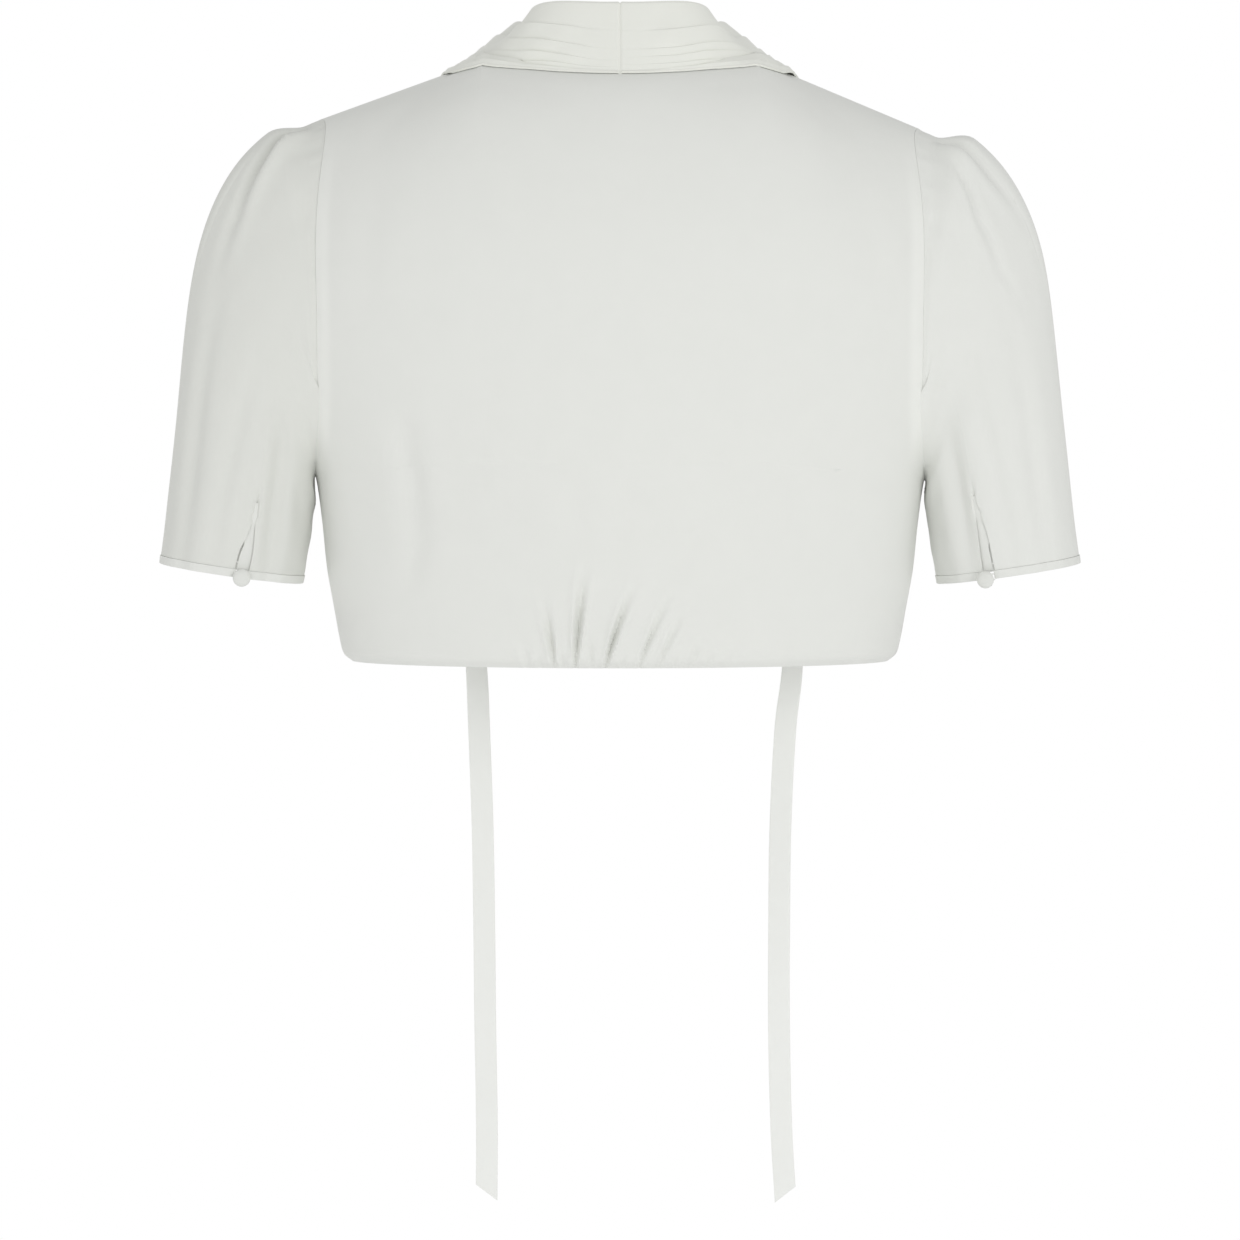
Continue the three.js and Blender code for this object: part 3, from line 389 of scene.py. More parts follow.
def crease(points, path, depth, half_width, ridge=0.35):
    """A soft trough along a path of x and z on the back, with a low ridge on both sides.

    It deepens and fades along its length. Returns how far the cloth moves in."""
    xz = points[..., [0, 2]]
    path = np.array(path, float)
    best = np.full(xz.shape[:2], 1e9)
    where = np.zeros(xz.shape[:2])
    lengths = np.linalg.norm(np.diff(path, axis=0), axis=1)
    total, start = lengths.sum(), 0.0
    for a, b, length in zip(path[:-1], path[1:], lengths):
        t = clamp01(((xz - a) @ (b - a)) / length ** 2)
        distance = np.linalg.norm(xz - (a + t[..., None] * (b - a)), axis=-1)
        nearer = distance < best
        best = np.where(nearer, distance, best)
        where = np.where(nearer, (start + t * length) / total, where)
        start += length
    fade = np.sin(np.pi * clamp01(0.06 + 0.94 * where) ** 0.8) ** 0.8
    profile = bell(best / half_width) - ridge * bell((best - 2.1 * half_width) / (1.3 * half_width))
    return depth * fade * profile


# Materials
def cotton(name, colour, weave=1400.0, bump=0.12, mottling=0.025):
    """Matt plain-weave cotton: crossed threads in the bump, and faint uneven colour."""
    material = bpy.data.materials.new(name)
    material.use_nodes = True
    nodes, links = material.node_tree.nodes, material.node_tree.links

    def values(node, **inputs):
        for key, value in inputs.items():
            node.inputs[key.replace("_", " ")].default_value = value
        return node

    def new(kind, **inputs):
        return values(nodes.new("ShaderNode" + kind), **inputs)

    shader = values(nodes["Principled BSDF"], Roughness=0.88, Specular_IOR_Level=0.25,
                    Sheen_Weight=0.12, Sheen_Roughness=0.5)
    where = new("TexCoord")
    weft = new("Math")
    weft.operation = "MAXIMUM"
    for place, axis in enumerate(("X", "Z")):
        wave = new("TexWave", Scale=weave, Distortion=0.6, Detail=1.0)
        wave.bands_direction = axis
        links.new(where.outputs["Object"], wave.inputs["Vector"])
        links.new(wave.outputs["Fac"], weft.inputs[place])
    soft = new("TexNoise", Scale=55.0, Detail=4.0)
    links.new(where.outputs["Object"], soft.inputs["Vector"])
    patches = new("MapRange", To_Min=1.0 - mottling, To_Max=1.0)
    links.new(soft.outputs["Fac"], patches.inputs["Value"])
    # Doubled cloth lets less light through, so it is whiter. The lighter colour is also a painted
    # highlight, standing in for the light the lifted edge of the back catches over the seam
    # allowance.
    layers = new("Attribute")
    layers.attribute_name = "doubled_and_painted_highlight"
    doubled_tint_and_highlight, tint = new("Mix"), new("Mix")
    doubled_tint_and_highlight.data_type = tint.data_type = "RGBA"
    values(doubled_tint_and_highlight, A=(*colour, 1), B=(*[min(1.08 * part, 0.9) for part in colour], 1))
    tint.blend_type = "MULTIPLY"
    values(tint, Factor=1.0)
    links.new(layers.outputs["Fac"], doubled_tint_and_highlight.inputs["Factor"])
    links.new(doubled_tint_and_highlight.outputs["Result"], tint.inputs["A"])
    links.new(patches.outputs["Result"], tint.inputs["B"])
    links.new(tint.outputs["Result"], shader.inputs["Base Color"])
    weave_bump = new("Bump", Strength=bump, Distance=0.0002)
    links.new(weft.outputs["Value"], weave_bump.inputs["Height"])
    soft_bump = new("Bump", Strength=0.25, Distance=0.0012)
    links.new(soft.outputs["Fac"], soft_bump.inputs["Height"])
    links.new(weave_bump.outputs["Normal"], soft_bump.inputs["Normal"])
    links.new(soft_bump.outputs["Normal"], shader.inputs["Normal"])
    return material


COTTON = cotton("cotton", (0.80, 0.81, 0.775))
COLLAR_COTTON = cotton("collar_cotton", (0.845, 0.855, 0.80))
TIE_COTTON = cotton("tie_cotton", (0.88, 0.89, 0.86))
# The left sleeve gets a darker copy of the cotton: painted shade, as the left sleeve lies more in
# shade than the right one.
SLEEVE_COTTON_LEFT_PAINTED_SHADE = {"left": cotton("sleeve_cotton_left_painted_shade", (0.755, 0.765, 0.725)), "right": COTTON}
BUTTON_COTTON = cotton("button_cotton", (0.78, 0.79, 0.755), weave=1700.0, bump=0.2)


# Back
ALLOWANCE_WIDTH = 10.0
ALLOWANCE_LIFT = 0.5


def gather_depth(points):
    """How far the elastic's gathers draw the back in near the hem."""
    x, height = points[..., 0], points[..., 2] - HEM_HEIGHT
    total = np.zeros_like(x)
    for at, lean, length, depth, half_width in GATHERS:
        up = clamp01(height / length)
        off = (x - at - lean * up ** 1.2) / (half_width * (0.8 + 1.1 * up))
        profile = bell(off) - 0.4 * bell((np.abs(off) - 2.0) / 0.9)
        fade = (0.55 + 0.45 * smooth(up / 0.3)) * (1 - smooth((up - 0.3) / 0.7))
        total += depth * fade * profile
    return total


def make_back():
    share, across = np.meshgrid(shares(), back_columns(), indexing="ij")
    plain = back_points(across, share)
    normals = panel_normals(plain, (0, -1))
    inward = gather_depth(plain)
    for path, depth, half_width in BACK_CREASES:
        inward += crease(plain, path, depth, half_width)
    edge_fade = smooth((1 - np.abs(across)) / 0.06) * smooth((1 - share) / 0.04)
    inward *= np.maximum(edge_fade, smooth((0.2 - share) / 0.05))
    inward += 0.35 * wrinkles(plain.shape[:2], 11, 7, 9) * edge_fade * smooth(share / 0.05)
    # Near the hem the cloth moves level, so that the hem stays straight.
    level = normals * np.array([1, 1, 0])
    level = lerp(unit(level), normals, smooth((plain[..., 2:3] - HEM_HEIGHT) / 30))
    grid = plain - level * inward[..., None]
    # The seam allowance along each armhole lies under the edge of the back and lifts it.
    x = grid[..., 0]
    gap = np.minimum(np.abs(x - x[:, :1]), np.abs(x - x[:, -1:]))
    length = smooth((share - UNDERARM_SHARE) / 0.1) * smooth((1 - share) / 0.22)
    grid += normals * (ALLOWANCE_LIFT * clamp01((ALLOWANCE_WIDTH - gap) / 7) * length)[..., None]
    # Where the allowance shows, the cloth is painted whiter: partly doubled cloth, partly a painted
    # highlight on the lifted edge.
    doubled_and_painted_highlight = 0.75 * smooth((ALLOWANCE_WIDTH + 0.5 - gap) / 5.5) * length
    normals = panel_normals(grid, (0, -1))
    piece = wall("back_cloth", grid, grid - normals * CLOTH, COTTON, ["back"], doubled_and_painted_highlight)
    return grid, normals


# Fronts
FRONT_COLUMNS = 84


def make_front(side):
    across = np.linspace(0, 1, FRONT_COLUMNS)
    share, across = np.meshgrid(shares(), across, indexing="ij")
    plain = front_points(side, across, share)
    normals = grid_normals(plain, outwards(plain))
    x, z = np.abs(plain[..., 0]), plain[..., 2]
    inward = np.zeros_like(x)
    for at, lean, length, depth, width in FRONT_EASING:
        up = clamp01((z - HEM_HEIGHT) / length)
        off = (x - at - lean * up) / (width * (1 + 0.6 * up))
        inward += depth * (1 - smooth(up)) * (bell(off) - 0.4 * bell((np.abs(off) - 2) / 1.1))
    inward += 0.5 * wrinkles(x.shape, 21 if side == "left" else 22, 6, 4)
    edge_fade = smooth(across / 0.12) * smooth((1 - across) / 0.12) * smooth((1 - share) / 0.04)
    grid = plain - normals * (inward * edge_fade * smooth(share / 0.02))[..., None]
    normals = panel_normals(grid, (-1,))
    piece = wall(f"front_cloth_{side}", grid, grid - normals * CLOTH, COTTON,
                 [f"front_{side}"])
    return grid, normals


def over_panels(point):
    """The facing of the panel nearest to a point, and how far above and beside it the point is."""
    nearest = panel_tree.find(point)[1]
    facing = panel_facings[nearest]
    off = point - panel_points[nearest]
    height = float(np.dot(off, facing))
    return facing, height, float(np.linalg.norm(off - facing * height))


# Sleeves
SLEEVE_ROWS = 120
HEAD_PUFF = {"left": 9.0, "right": 12.0}
SIDE_PUFF, UNDER_PUFF, UNDER_BACK_PUFF = 1.2, 3.0, 2.0
PANEL_CLEARANCE = 0.5
ARMHOLE_GAP = 0.2


def armhole_ring(side, back, front):
    """The armhole from the shoulder tip down the back edge and up the front edge."""
    column = -1 if side == "left" else 0
    rows = np.arange(BODY_ROWS + ARMHOLE_ROWS, BODY_ROWS - 1, -1)
    down = [(back[0][i, column], back[1][i, column]) for i in rows]
    up = [(front[0][i, -1], front[1][i, -1]) for i in rows[1:-1]][::-1]
    points = np.array([p for p, _ in down + up])
    normals = np.array([n for _, n in down + up])
    return points, normals


def around(angle, key):
    cosine = np.cos(angle)
    ends = np.where(cosine > 0, SLEEVE_CURVE[key]["top"], SLEEVE_CURVE[key]["under"])
    return lerp(SLEEVE_CURVE[key]["side"], ends, cosine ** 2)


# Folds of the sleeve head and of the sleeve below it. Each row: the places in degrees round the
# sleeve that its line passes, start and end as shares of the sleeve's length, depth, half width in
# degrees, and the lips on its back and front side as shares of the depth.
SLEEVE_FOLDS = {
    "left": [
        ((4, 20, 32, 36, 33), 0.03, 0.50, 7.5, 4.2, 0.8, 0.1),
        ((64, 52), 0.03, 0.34, 1.4, 7.0, 0.2, 0.2),
        ((-34, -26), 0.0, 0.42, 3.4, 7.0, 0.3, 0.3),
        ((-60, -42), 0.0, 0.50, 4.0, 7.0, 0.3, 0.3),
        ((118, 124), 0.38, 1.05, 3.2, 6.5, 0.5, 0.5),
        ((84, 78), 0.45, 1.0, 1.5, 6.0, 0.5, 0.4),
        ((40, 50), 0.45, 1.0, 1.8, 7.0, 0.5, 0.4),
        ((-70, -78), 0.4, 1.0, 1.8, 9.0, 0.4, 0.4),
        ((-120, -112), 0.4, 1.0, 1.8, 9.0, 0.4, 0.4),
    ],
    "right": [
        ((28, 46, 50, 42, 22), 0.08, 0.60, 3.2, 3.0, 0.7, 0.2),
        ((12, 20, 17), 0.05, 0.34, 5.0, 4.0, 0.6, 0.1),
        ((60, 66), 0.03, 0.30, 1.6, 5.0, 0.2, 0.2),
        ((-30, -24), 0.0, 0.40, 3.4, 7.0, 0.3, 0.3),
        ((-56, -42), 0.0, 0.50, 4.0, 7.0, 0.3, 0.3),
        ((128, 124), 0.35, 1.0, 2.6, 6.5, 0.5, 0.5),
        ((98, 90), 0.45, 1.0, 1.2, 6.0, 0.5, 0.4),
        ((56, 62), 0.5, 1.0, 1.6, 7.0, 0.5, 0.4),
        ((-74, -80), 0.4, 1.0, 1.8, 9.0, 0.4, 0.4),
        ((-116, -112), 0.4, 1.0, 1.8, 9.0, 0.4, 0.4),
    ],
}


def turned(degrees):
    return (degrees + 180) % 360 - 180


def fold_depth(side, along, degrees):
    total = np.zeros_like(along)
    for places, start, end, depth, half, back_lip, front_lip in SLEEVE_FOLDS[side]:
        t = clamp01((along - start) / (end - start))
        off = turned(degrees - np.interp(t, np.linspace(0, 1, len(places)), places)) / half
        if end < 0.9:
            fade = smooth(t * 6) * (1 - smooth(t))
        else:
            fade = smooth(t * 1.6) * (1 - 0.45 * smooth((t - 0.75) * 4))
        fade = fade * (along >= start)
        profile = (bell(off) - back_lip * bell((off - 2.0) / 1.2)
                   - front_lip * bell((off + 2.0) / 1.2))
        total += depth * fade * profile
    return total


def head_gathers(side, along, degrees):
    """The small pleats sewn into the sleeve head, closest together at the shoulder."""
    rng = np.random.default_rng(31 if side == "left" else 32)
    total = np.zeros_like(along)
    at = -78.0
    while at < 84:
        half = rng.uniform(1.5, 2.6)
        reach = rng.uniform(0.06, 0.17)
        lean = rng.uniform(-3, 3)
        t = clamp01(along / reach)
        off = turned(degrees - at - lean * t) / (half * (1 + t))
        total += rng.uniform(0.7, 1.5) * (1 - smooth(t)) * smooth(t * 7 + 0.25) * bell(off)
        at += half * rng.uniform(2.4, 3.8)
    return total


def sleeve_grid(side, back, front):
    sign = SIDES[side]
    points, normals = armhole_ring(side, back, front)
    count = len(points)
    angle = 2 * np.pi * np.arange(count) / count
    tangent = np.roll(points, -1, 0) - np.roll(points, 1, 0)
    away = unit(np.cross(normals, tangent))
    opening = np.array([sign * SHOULDER_HALF_WIDTH, 0, lerp(SHOULDER_TIP[side], HEM_HEIGHT, 0.32)])
    flip = np.sum(away * (opening - points), axis=1, keepdims=True) < 0
    away = np.where(flip, -away, away)
    start = points + away * ARMHOLE_GAP
    across = np.array([sign * math.cos(SLEEVE_TILT), 0, math.sin(SLEEVE_TILT)])
    up = np.array([-sign * math.sin(SLEEVE_TILT), 0, math.cos(SLEEVE_TILT)])
    centre = np.array([sign * SLEEVE_HEM[0], SLEEVE_HEM[1], SLEEVE_HEM[2]])
    hem = (centre + across * (SLEEVE_HALF_WIDTH * np.cos(angle))[:, None]
           + np.array([0, 1, 0]) * (SLEEVE_HALF_DEPTH * np.sin(angle))[:, None])
    leaving = unit(away * 0.5 + np.array([sign, 0, 0]))
    first = start + leaving * around(angle, "leave")[:, None]
    first[:, 2] += around(angle, "lift")
    second = hem + up * around(angle, "arrive")[:, None]
    t = (np.linspace(0, 1, SLEEVE_ROWS) ** 1.15)[:, None, None]
    grid = ((1 - t) ** 3 * start + 3 * (1 - t) ** 2 * t * first
            + 3 * (1 - t) * t ** 2 * second + t ** 3 * hem)
    return grid, start - normals * CLOTH, angle


def sleeve_surface(side, back, front):
    grid, inner_start, angle = sleeve_grid(side, back, front)
    rows, count = grid.shape[:2]
    middle = grid.mean(axis=1, keepdims=True)
    along = np.repeat(np.linspace(0, 1, rows)[:, None], count, 1)
    degrees = np.repeat(np.degrees(angle)[None, :], rows, 0)
    plain = grid_normals(grid, grid - middle, closed=True)
    # The cloth stands out from its plain curve at the sides of the seam, over the shoulder and
    # under the arm.
    sides = np.abs(np.sin(angle))[None, :] ** 1.5
    top = np.maximum(np.cos(angle), 0)[None, :] ** 2
    under = np.maximum(-np.cos(angle), 0)[None, :] ** 2
    under_back = 2 * (np.maximum(-np.cos(angle), 0) * np.maximum(np.sin(angle), 0))[None, :]
    puff = SIDE_PUFF * sides * smooth(along / 0.07) * (1 - smooth((along - 0.1) / 0.5))
    puff += (HEAD_PUFF[side] * top * smooth((along - 0.05) / 0.08)
             * (1 - smooth((along - 0.18) / 0.42)))
    puff += (UNDER_BACK_PUFF * under_back * smooth((along - 0.04) / 0.2)
             * (1 - 0.75 * clamp01((along - 0.3) / 0.7)))
    puff += (UNDER_PUFF * under * smooth((along - 0.22) / 0.3)
             * (1 - 0.8 * clamp01((along - 0.5) / 0.5)))
    inward = fold_depth(side, along, degrees) + head_gathers(side, along, degrees) - puff
    noise = wrinkles(grid.shape[:2], 41 if side == "left" else 42, 5, 6, closed=True)
    inward += 0.6 * noise * smooth(along / 0.1) * smooth((1 - along) / 0.06)
    grid = grid - plain * (inward * smooth(along / 0.012))[..., None]
    # Under the arm the cloth is pushed out where it would go through the panels. Close to the
    # seam a little of it still does.
    share = (smooth((0.35 - np.cos(angle)) / 0.4)[None, :] * smooth(along / 0.04)).reshape(-1)
    flat = grid.reshape(-1, 3).copy()
    for i in np.flatnonzero(share > 0.01):
        facing, height, aside = over_panels(flat[i])
        if height < PANEL_CLEARANCE:
            flat[i] += facing * ((PANEL_CLEARANCE - height) * share[i]
                                 * (1 - smooth((aside - 3) / 3)))
    grid = flat.reshape(grid.shape)
    normals = grid_normals(grid, grid - middle, closed=True)
    return grid, normals, inner_start


def columns_at(degrees, count):
    """The two columns that each place round a sleeve is between, and its share of the way."""
    column = (np.asarray(degrees, float) % 360) / 360 * count
    low = np.floor(column).astype(int) % count
    return low, (low + 1) % count, (column - np.floor(column))[..., None]


class Sleeve:
    """A sleeve's surface, read by degrees round it and height above its lower edge."""

    def __init__(self, grid, normals):
        self.grid, self.normals = grid, normals
        steps = np.linalg.norm(np.diff(grid, axis=0), axis=2)[::-1]
        self.heights = np.concatenate([np.zeros((1, grid.shape[1])), np.cumsum(steps, 0)])

    def at(self, degrees, height):
        """Points, normals and the way up the sleeve, for arrays of degrees and heights."""
        low, nxt, part = columns_at(degrees, self.grid.shape[1])
        height = np.asarray(height, float)

        def one(j):
            rows = self.heights[:, j]
            i = np.clip((rows < np.maximum(height, 0)[None]).sum(0) - 1, 0, len(rows) - 2)
            below = np.take_along_axis(rows, i[None], 0)[0]
            above = np.take_along_axis(rows, i[None] + 1, 0)[0]
            t = ((np.maximum(height, 0) - below) / (above - below))[..., None]
            last = len(rows) - 1
            p = lerp(self.grid[last - i, j], self.grid[last - i - 1, j], t)
            n = lerp(self.normals[last - i, j], self.normals[last - i - 1, j], t)
            way = unit(self.grid[-4, j] - self.grid[-1, j])
            return p + way * np.minimum(height, 0)[..., None], n, way

        a, b = one(low), one(nxt)
        point = lerp(a[0], b[0], part)
        return point, unit(lerp(a[1], b[1], part)), unit(lerp(a[2], b[2], part))


SLIT_CREASE = {"length": 22.0, "half_width": 1.2, "depth": 2.4}


def slit_edges(side, height):
    table = SLIT[side]
    height = np.minimum(height, table["height"][-1])
    return curve(table, "height", "body", height), curve(table, "height", "outer", height)


def make_sleeve(side, back, front):
    """The sleeve is drawn as a strip that starts and ends at the slit's two edges."""
    grid, normals, inner_start = sleeve_surface(side, back, front)
    whole = Sleeve(grid, normals)
    count = grid.shape[1]
    middle = (SLIT[side]["body"][-1] + SLIT[side]["outer"][-1]) / 2
    # Below the slit's top the columns move aside, from its middle to its two edges.
    rows = grid.shape[0]
    degrees = np.degrees(2 * np.pi * np.arange(count + 1) / count) + middle
    lengths = whole.heights.mean(1)[::-1]
    low, nxt, part = columns_at(degrees, count)
    straight = lerp(grid[:, low], grid[:, nxt], part)
    straight_normals = unit(lerp(normals[:, low], normals[:, nxt], part))
    outer_grid, outer_normals = straight.copy(), straight_normals.copy()
    outer_normals[0] = unit(straight[0] - lerp(inner_start[low], inner_start[nxt], part))
    for i in range(1, rows):
        height = np.full(count + 1, lengths[i])
        if lengths[i] < SLIT[side]["height"][-1]:
            body, outer = slit_edges(side, lengths[i])
        else:
            body = outer = middle
        spread = (degrees - middle) / 360
        near_body, near_outer = body - middle, middle - outer
        shift = near_body * np.exp(-spread * 9) - near_outer * np.exp(-(1 - spread) * 9)
        outer_grid[i], outer_normals[i], _ = whole.at(degrees + shift, height)
        # A short crease runs up from the top of the slit.
        above = (lengths[i] - SLIT[side]["height"][-1]) / SLIT_CREASE["length"]
        near = np.minimum(spread, 1 - spread) * 360 / SLIT_CREASE["half_width"]
        if above > -0.5:
            sunk = SLIT_CREASE["depth"] * (1 - smooth(above)) * smooth((above + 0.5) / 0.5)
            outer_grid[i] -= outer_normals[i] * (sunk * bell(near))[:, None]
    # Each row keeps to the armhole: the heights above are even only near the hem.
    level = smooth(np.linspace(0, 1, rows) / 0.75)[:, None, None]
    outer_grid[1:] = lerp(straight, outer_grid, level)[1:]
    outer_normals[1:] = unit(lerp(straight_normals, outer_normals, level))[1:]
    inner = outer_grid - outer_normals * CLOTH
    # The left sleeve's cotton is darker: painted shade.
    piece = wall(f"sleeve_cloth_{side}", outer_grid, inner, SLEEVE_COTTON_LEFT_PAINTED_SHADE[side],
                 [f"sleeve_{side}"])
    return whole


def patch(whole, degrees, heights, depth):
    """Points over a sleeve, from a list of degrees round it and a list of heights."""
    degrees, heights = np.broadcast_arrays(np.asarray(degrees, float), np.asarray(heights, float))
    point, normal, _ = whole.at(degrees, heights)
    return point + normal * np.broadcast_to(depth, degrees.shape)[..., None]


PER_DEGREE = 2 * math.pi * SLEEVE_HALF_WIDTH / 360


def make_underlap(side, whole):
    """The strip under the slit, a little wider than the slit and a little taller."""
    beyond, above, depth = 4.0 / PER_DEGREE, 6.0, 0.45
    heights = np.linspace(0.4, SLIT[side]["height"][-1] + above, 40)
    body, outer = slit_edges(side, heights)
    across = np.linspace(0, 1, 20)[None, :]
    # It is sewn under the body's edge of the slit and stops short of the other edge near the hem.
    short = lerp(1.6, -beyond, smooth((heights - 14) / 14))
    degrees = lerp((body + beyond)[:, None], (outer + short)[:, None], across)
    sag = 0.5 * np.sin(np.pi * across) * smooth((30 - heights) / 20)[:, None]
    outside = patch(whole, degrees, heights[:, None], -CLOTH - depth - sag)
    inside = patch(whole, degrees, heights[:, None], -2 * CLOTH - depth - sag)
    piece = wall(f"underlap_cloth_{side}", outside, inside, COTTON, [f"underlap_{side}"])


def rounded_wall(name, middle, normals, half, material, replaces, edge_columns=3):
    """A flat strip whose long edges are rounded, from the points along its middle."""
    columns = middle.shape[1]
    near = np.minimum(np.arange(columns), np.arange(columns)[::-1])
    soft = np.sqrt(1 - np.square(1 - clamp01((near + 0.6) / edge_columns)))
    outer = middle + normals * (half * soft)[None, :, None]
    inner = middle - normals * (half * soft)[None, :, None]
    return wall(name, outer, inner, material, replaces)


def make_binding(side, whole):
    """The narrow binding of the sleeve hem, a strip folded in half, from under the button to the
    slit's outer edge."""
    first = BUTTON_ANGLE[side] - 1.9
    last = SLIT[side]["outer"][0] + BINDING_LAP + 360
    degrees = np.linspace(first, last, 300)[:, None]
    rng = np.random.default_rng(51 if side == "left" else 52)
    bumps = np.zeros_like(degrees)
    for _ in range(9):
        bumps += np.sin(np.radians(degrees) * rng.integers(9, 44) + rng.uniform(0, 6.3)) / 9
    outer_radius, inner_radius = 0.67, 0.17
    leg = np.linspace(0, 1, 9)
    turn = np.linspace(0, np.pi, 11)[1:-1]

    def section(radius):
        """Heights and depths of one face of the folded strip, down, round the fold and up."""
        fold = -BINDING_DROP - BINDING_HEIGHT + outer_radius
        down = lerp(-BINDING_DROP, fold, leg)
        up = lerp(fold, -BINDING_DROP, leg)
        heights = np.concatenate([down, fold - radius * np.sin(turn), up])
        depths = radius * np.concatenate([np.ones(9), np.cos(turn), -np.ones(9)])
        return heights[None, :], depths[None, :]

    def face(radius):
        heights, depths = section(radius)
        ripple = 0.35 * bumps * (1 + heights / BINDING_HEIGHT) - 0.2
        return patch(whole, degrees, heights, depths + ripple)

    outer, inner = face(outer_radius), face(inner_radius)
    piece = wall(f"binding_cloth_{side}", outer, inner, COTTON, [f"binding_{side}"])


def button_frame(side, whole):
    """Origin and axes of the button: along the hem towards the slit's outer edge, up, outwards."""
    height = -BINDING_DROP - BINDING_HEIGHT - 0.8 + 1.3
    point, normal, up = whole.at(BUTTON_ANGLE[side], height)
    beside = whole.at(BUTTON_ANGLE[side] - 1, height)[0]
    y = unit(up - normal * np.dot(up, normal))
    x = np.cross(y, normal)
    if np.dot(x, beside - point) < 0:
        x = -x
    return point + normal * 0.5, np.stack([x, y, normal])


def make_button(side, whole):
    """A small domed button covered in the same cotton, with the cloth gathered under its rim."""
    origin, axes = button_frame(side, whole)
    radius, height, under, rim = 5.6, 4.2, 1.9, 1.2
    profile = [(0.0, 0.35), (1.3, 0.35), (1.3, under - 0.2), (1.6, under), (4.6, under - 0.1),
               (5.15, under + 0.1), (5.5, under + 0.5)]
    for i in range(15):
        turn = math.pi / 2 * i / 15
        profile.append((radius * math.cos(turn) ** 0.8,
                        under + rim + (height - rim) * math.sin(turn)))
    profile.append((0.0, under + height))
    around_it, gathers = 56, 14
    points, faces, rings = [], [], []
    for r, z in profile:
        if r == 0:
            rings.append([len(points)] * around_it)
            points.append((0.0, 0.0, z))
            continue
        rings.append(list(range(len(points), len(points) + around_it)))
        for k in range(around_it):
            turn = 2 * math.pi * k / around_it
            gathered = 0.10 * math.cos(turn * gathers) if 2 < r and z < under + 0.6 else 0
            out = r + gathered
            points.append((out * math.cos(turn), out * math.sin(turn), z))
    for low, high in zip(rings[:-1], rings[1:]):
        for k in range(around_it):
            nxt = (k + 1) % around_it
            corners = [low[k], low[nxt], high[nxt], high[k]]
            faces.append([c for i, c in enumerate(corners) if c != corners[i - 1]])
    placed = origin + np.array(points) @ axes
    if np.linalg.det(axes) < 0:
        faces = [face[::-1] for face in faces]
    obj = add_object(f"button_cover_{side}", placed, faces, BUTTON_COTTON,
                     [f"button_{side}"])
    crisp_edges(obj)


def tube(path, radius, sides=10):
    """Points and faces of a round thread along a path."""
    path = np.asarray(path, float)
    tangents = unit(np.gradient(path, axis=0))
    reference = np.array([0.0, 0.0, 1.0])
    points, faces = [], []
    for p, t in zip(path, tangents):
        a = unit(np.cross(t, reference))
        b = np.cross(t, a)
        for k in range(sides):
            turn = 2 * math.pi * k / sides
            points.append(p + radius * (a * math.cos(turn) + b * math.sin(turn)))
    count = len(path)
    for i in range(count - 1):
        for k in range(sides):
            low, nxt = i * sides + k, i * sides + (k + 1) % sides
            faces.append([low, nxt, nxt + sides, low + sides])
    faces.append(list(range(sides))[::-1])
    faces.append([(count - 1) * sides + k for k in range(sides)])
    return points, faces


def make_loop(side, whole):
    """The thread loop from the outer end of the binding round the shank of the button."""
    origin, axes = button_frame(side, whole)
    reach = (BUTTON_ANGLE[side] - SLIT[side]["outer"][0] - BINDING_LAP) * PER_DEGREE + 1
    radius, thread_radius, z = 2.3, 0.45, 0.9
    path = [(reach, 2.9, z), (reach * 0.6, 2.7, z), (reach * 0.3, 2.5, z)]
    for i in range(19):
        turn = math.pi / 2 + math.pi * i / 18
        path.append((radius * math.cos(turn), radius * math.sin(turn), z))
    path += [(reach * 0.3, -1.9, z), (reach * 0.6, -1.3, z), (reach, -0.7, z)]
    points, faces = tube(path, thread_radius)
    add_object(f"loop_thread_{side}", origin + np.array(points) @ axes, faces, TIE_COTTON,
               [f"loop_{side}"])


# Collar
def collar_seam(side, back, front):
    """The line the collar is sewn to, from the centre back round the neck and down the front."""
    middle = back[0].shape[1] // 2
    step = 1 if side == "left" else -1
    columns = [middle]
    while abs(back[0][-1, columns[-1] + step, 0]) < NECK_HALF_WIDTH + 0.5:
        columns.append(columns[-1] + step)
    points = np.concatenate([back[0][-1, columns], front[0][::-1, 0]])
    steps = np.linalg.norm(np.diff(points, axis=0), axis=1)
    return points, np.concatenate([[0], np.cumsum(steps)])


def seam_frames(side, seam, at):
    """Places on the seam, with the directions up from the panels and over them there."""
    points, lengths = seam

    def place(where):
        mirror = np.where(where < 0, -1, 1)[:, None] * np.array([1, 0, 0]) + np.array([0, 1, 1])
        found = [np.interp(np.abs(where), lengths, points[:, k]) for k in range(3)]
        return np.stack(found, -1) * mirror

    along = unit(place(at + 7) - place(at - 7))
    x, y, z = (curve(COLLAR_UP, "at", key, at) for key in "xyz")
    up = np.stack([SIDES[side] * x, y, z], -1)
    up = unit(up - along * np.sum(up * along, -1, keepdims=True))
    return place(at), up, -SIDES[side] * np.cross(along, up)


def collar_place(at, share):
    """How far across the collar, from its seam, a share of it lies."""
    stand_end, bend_end = COLLAR_PARTS
    in_bend = clamp01((share - stand_end) / (bend_end - stand_end))
    in_fall = clamp01((share - bend_end) / (1 - bend_end))
    stand, bend, fall = (curve(COLLAR, "at", key, at) for key in ("stand", "bend", "fall"))
    return stand * np.minimum(share / stand_end, 1) + bend * in_bend + fall * in_fall


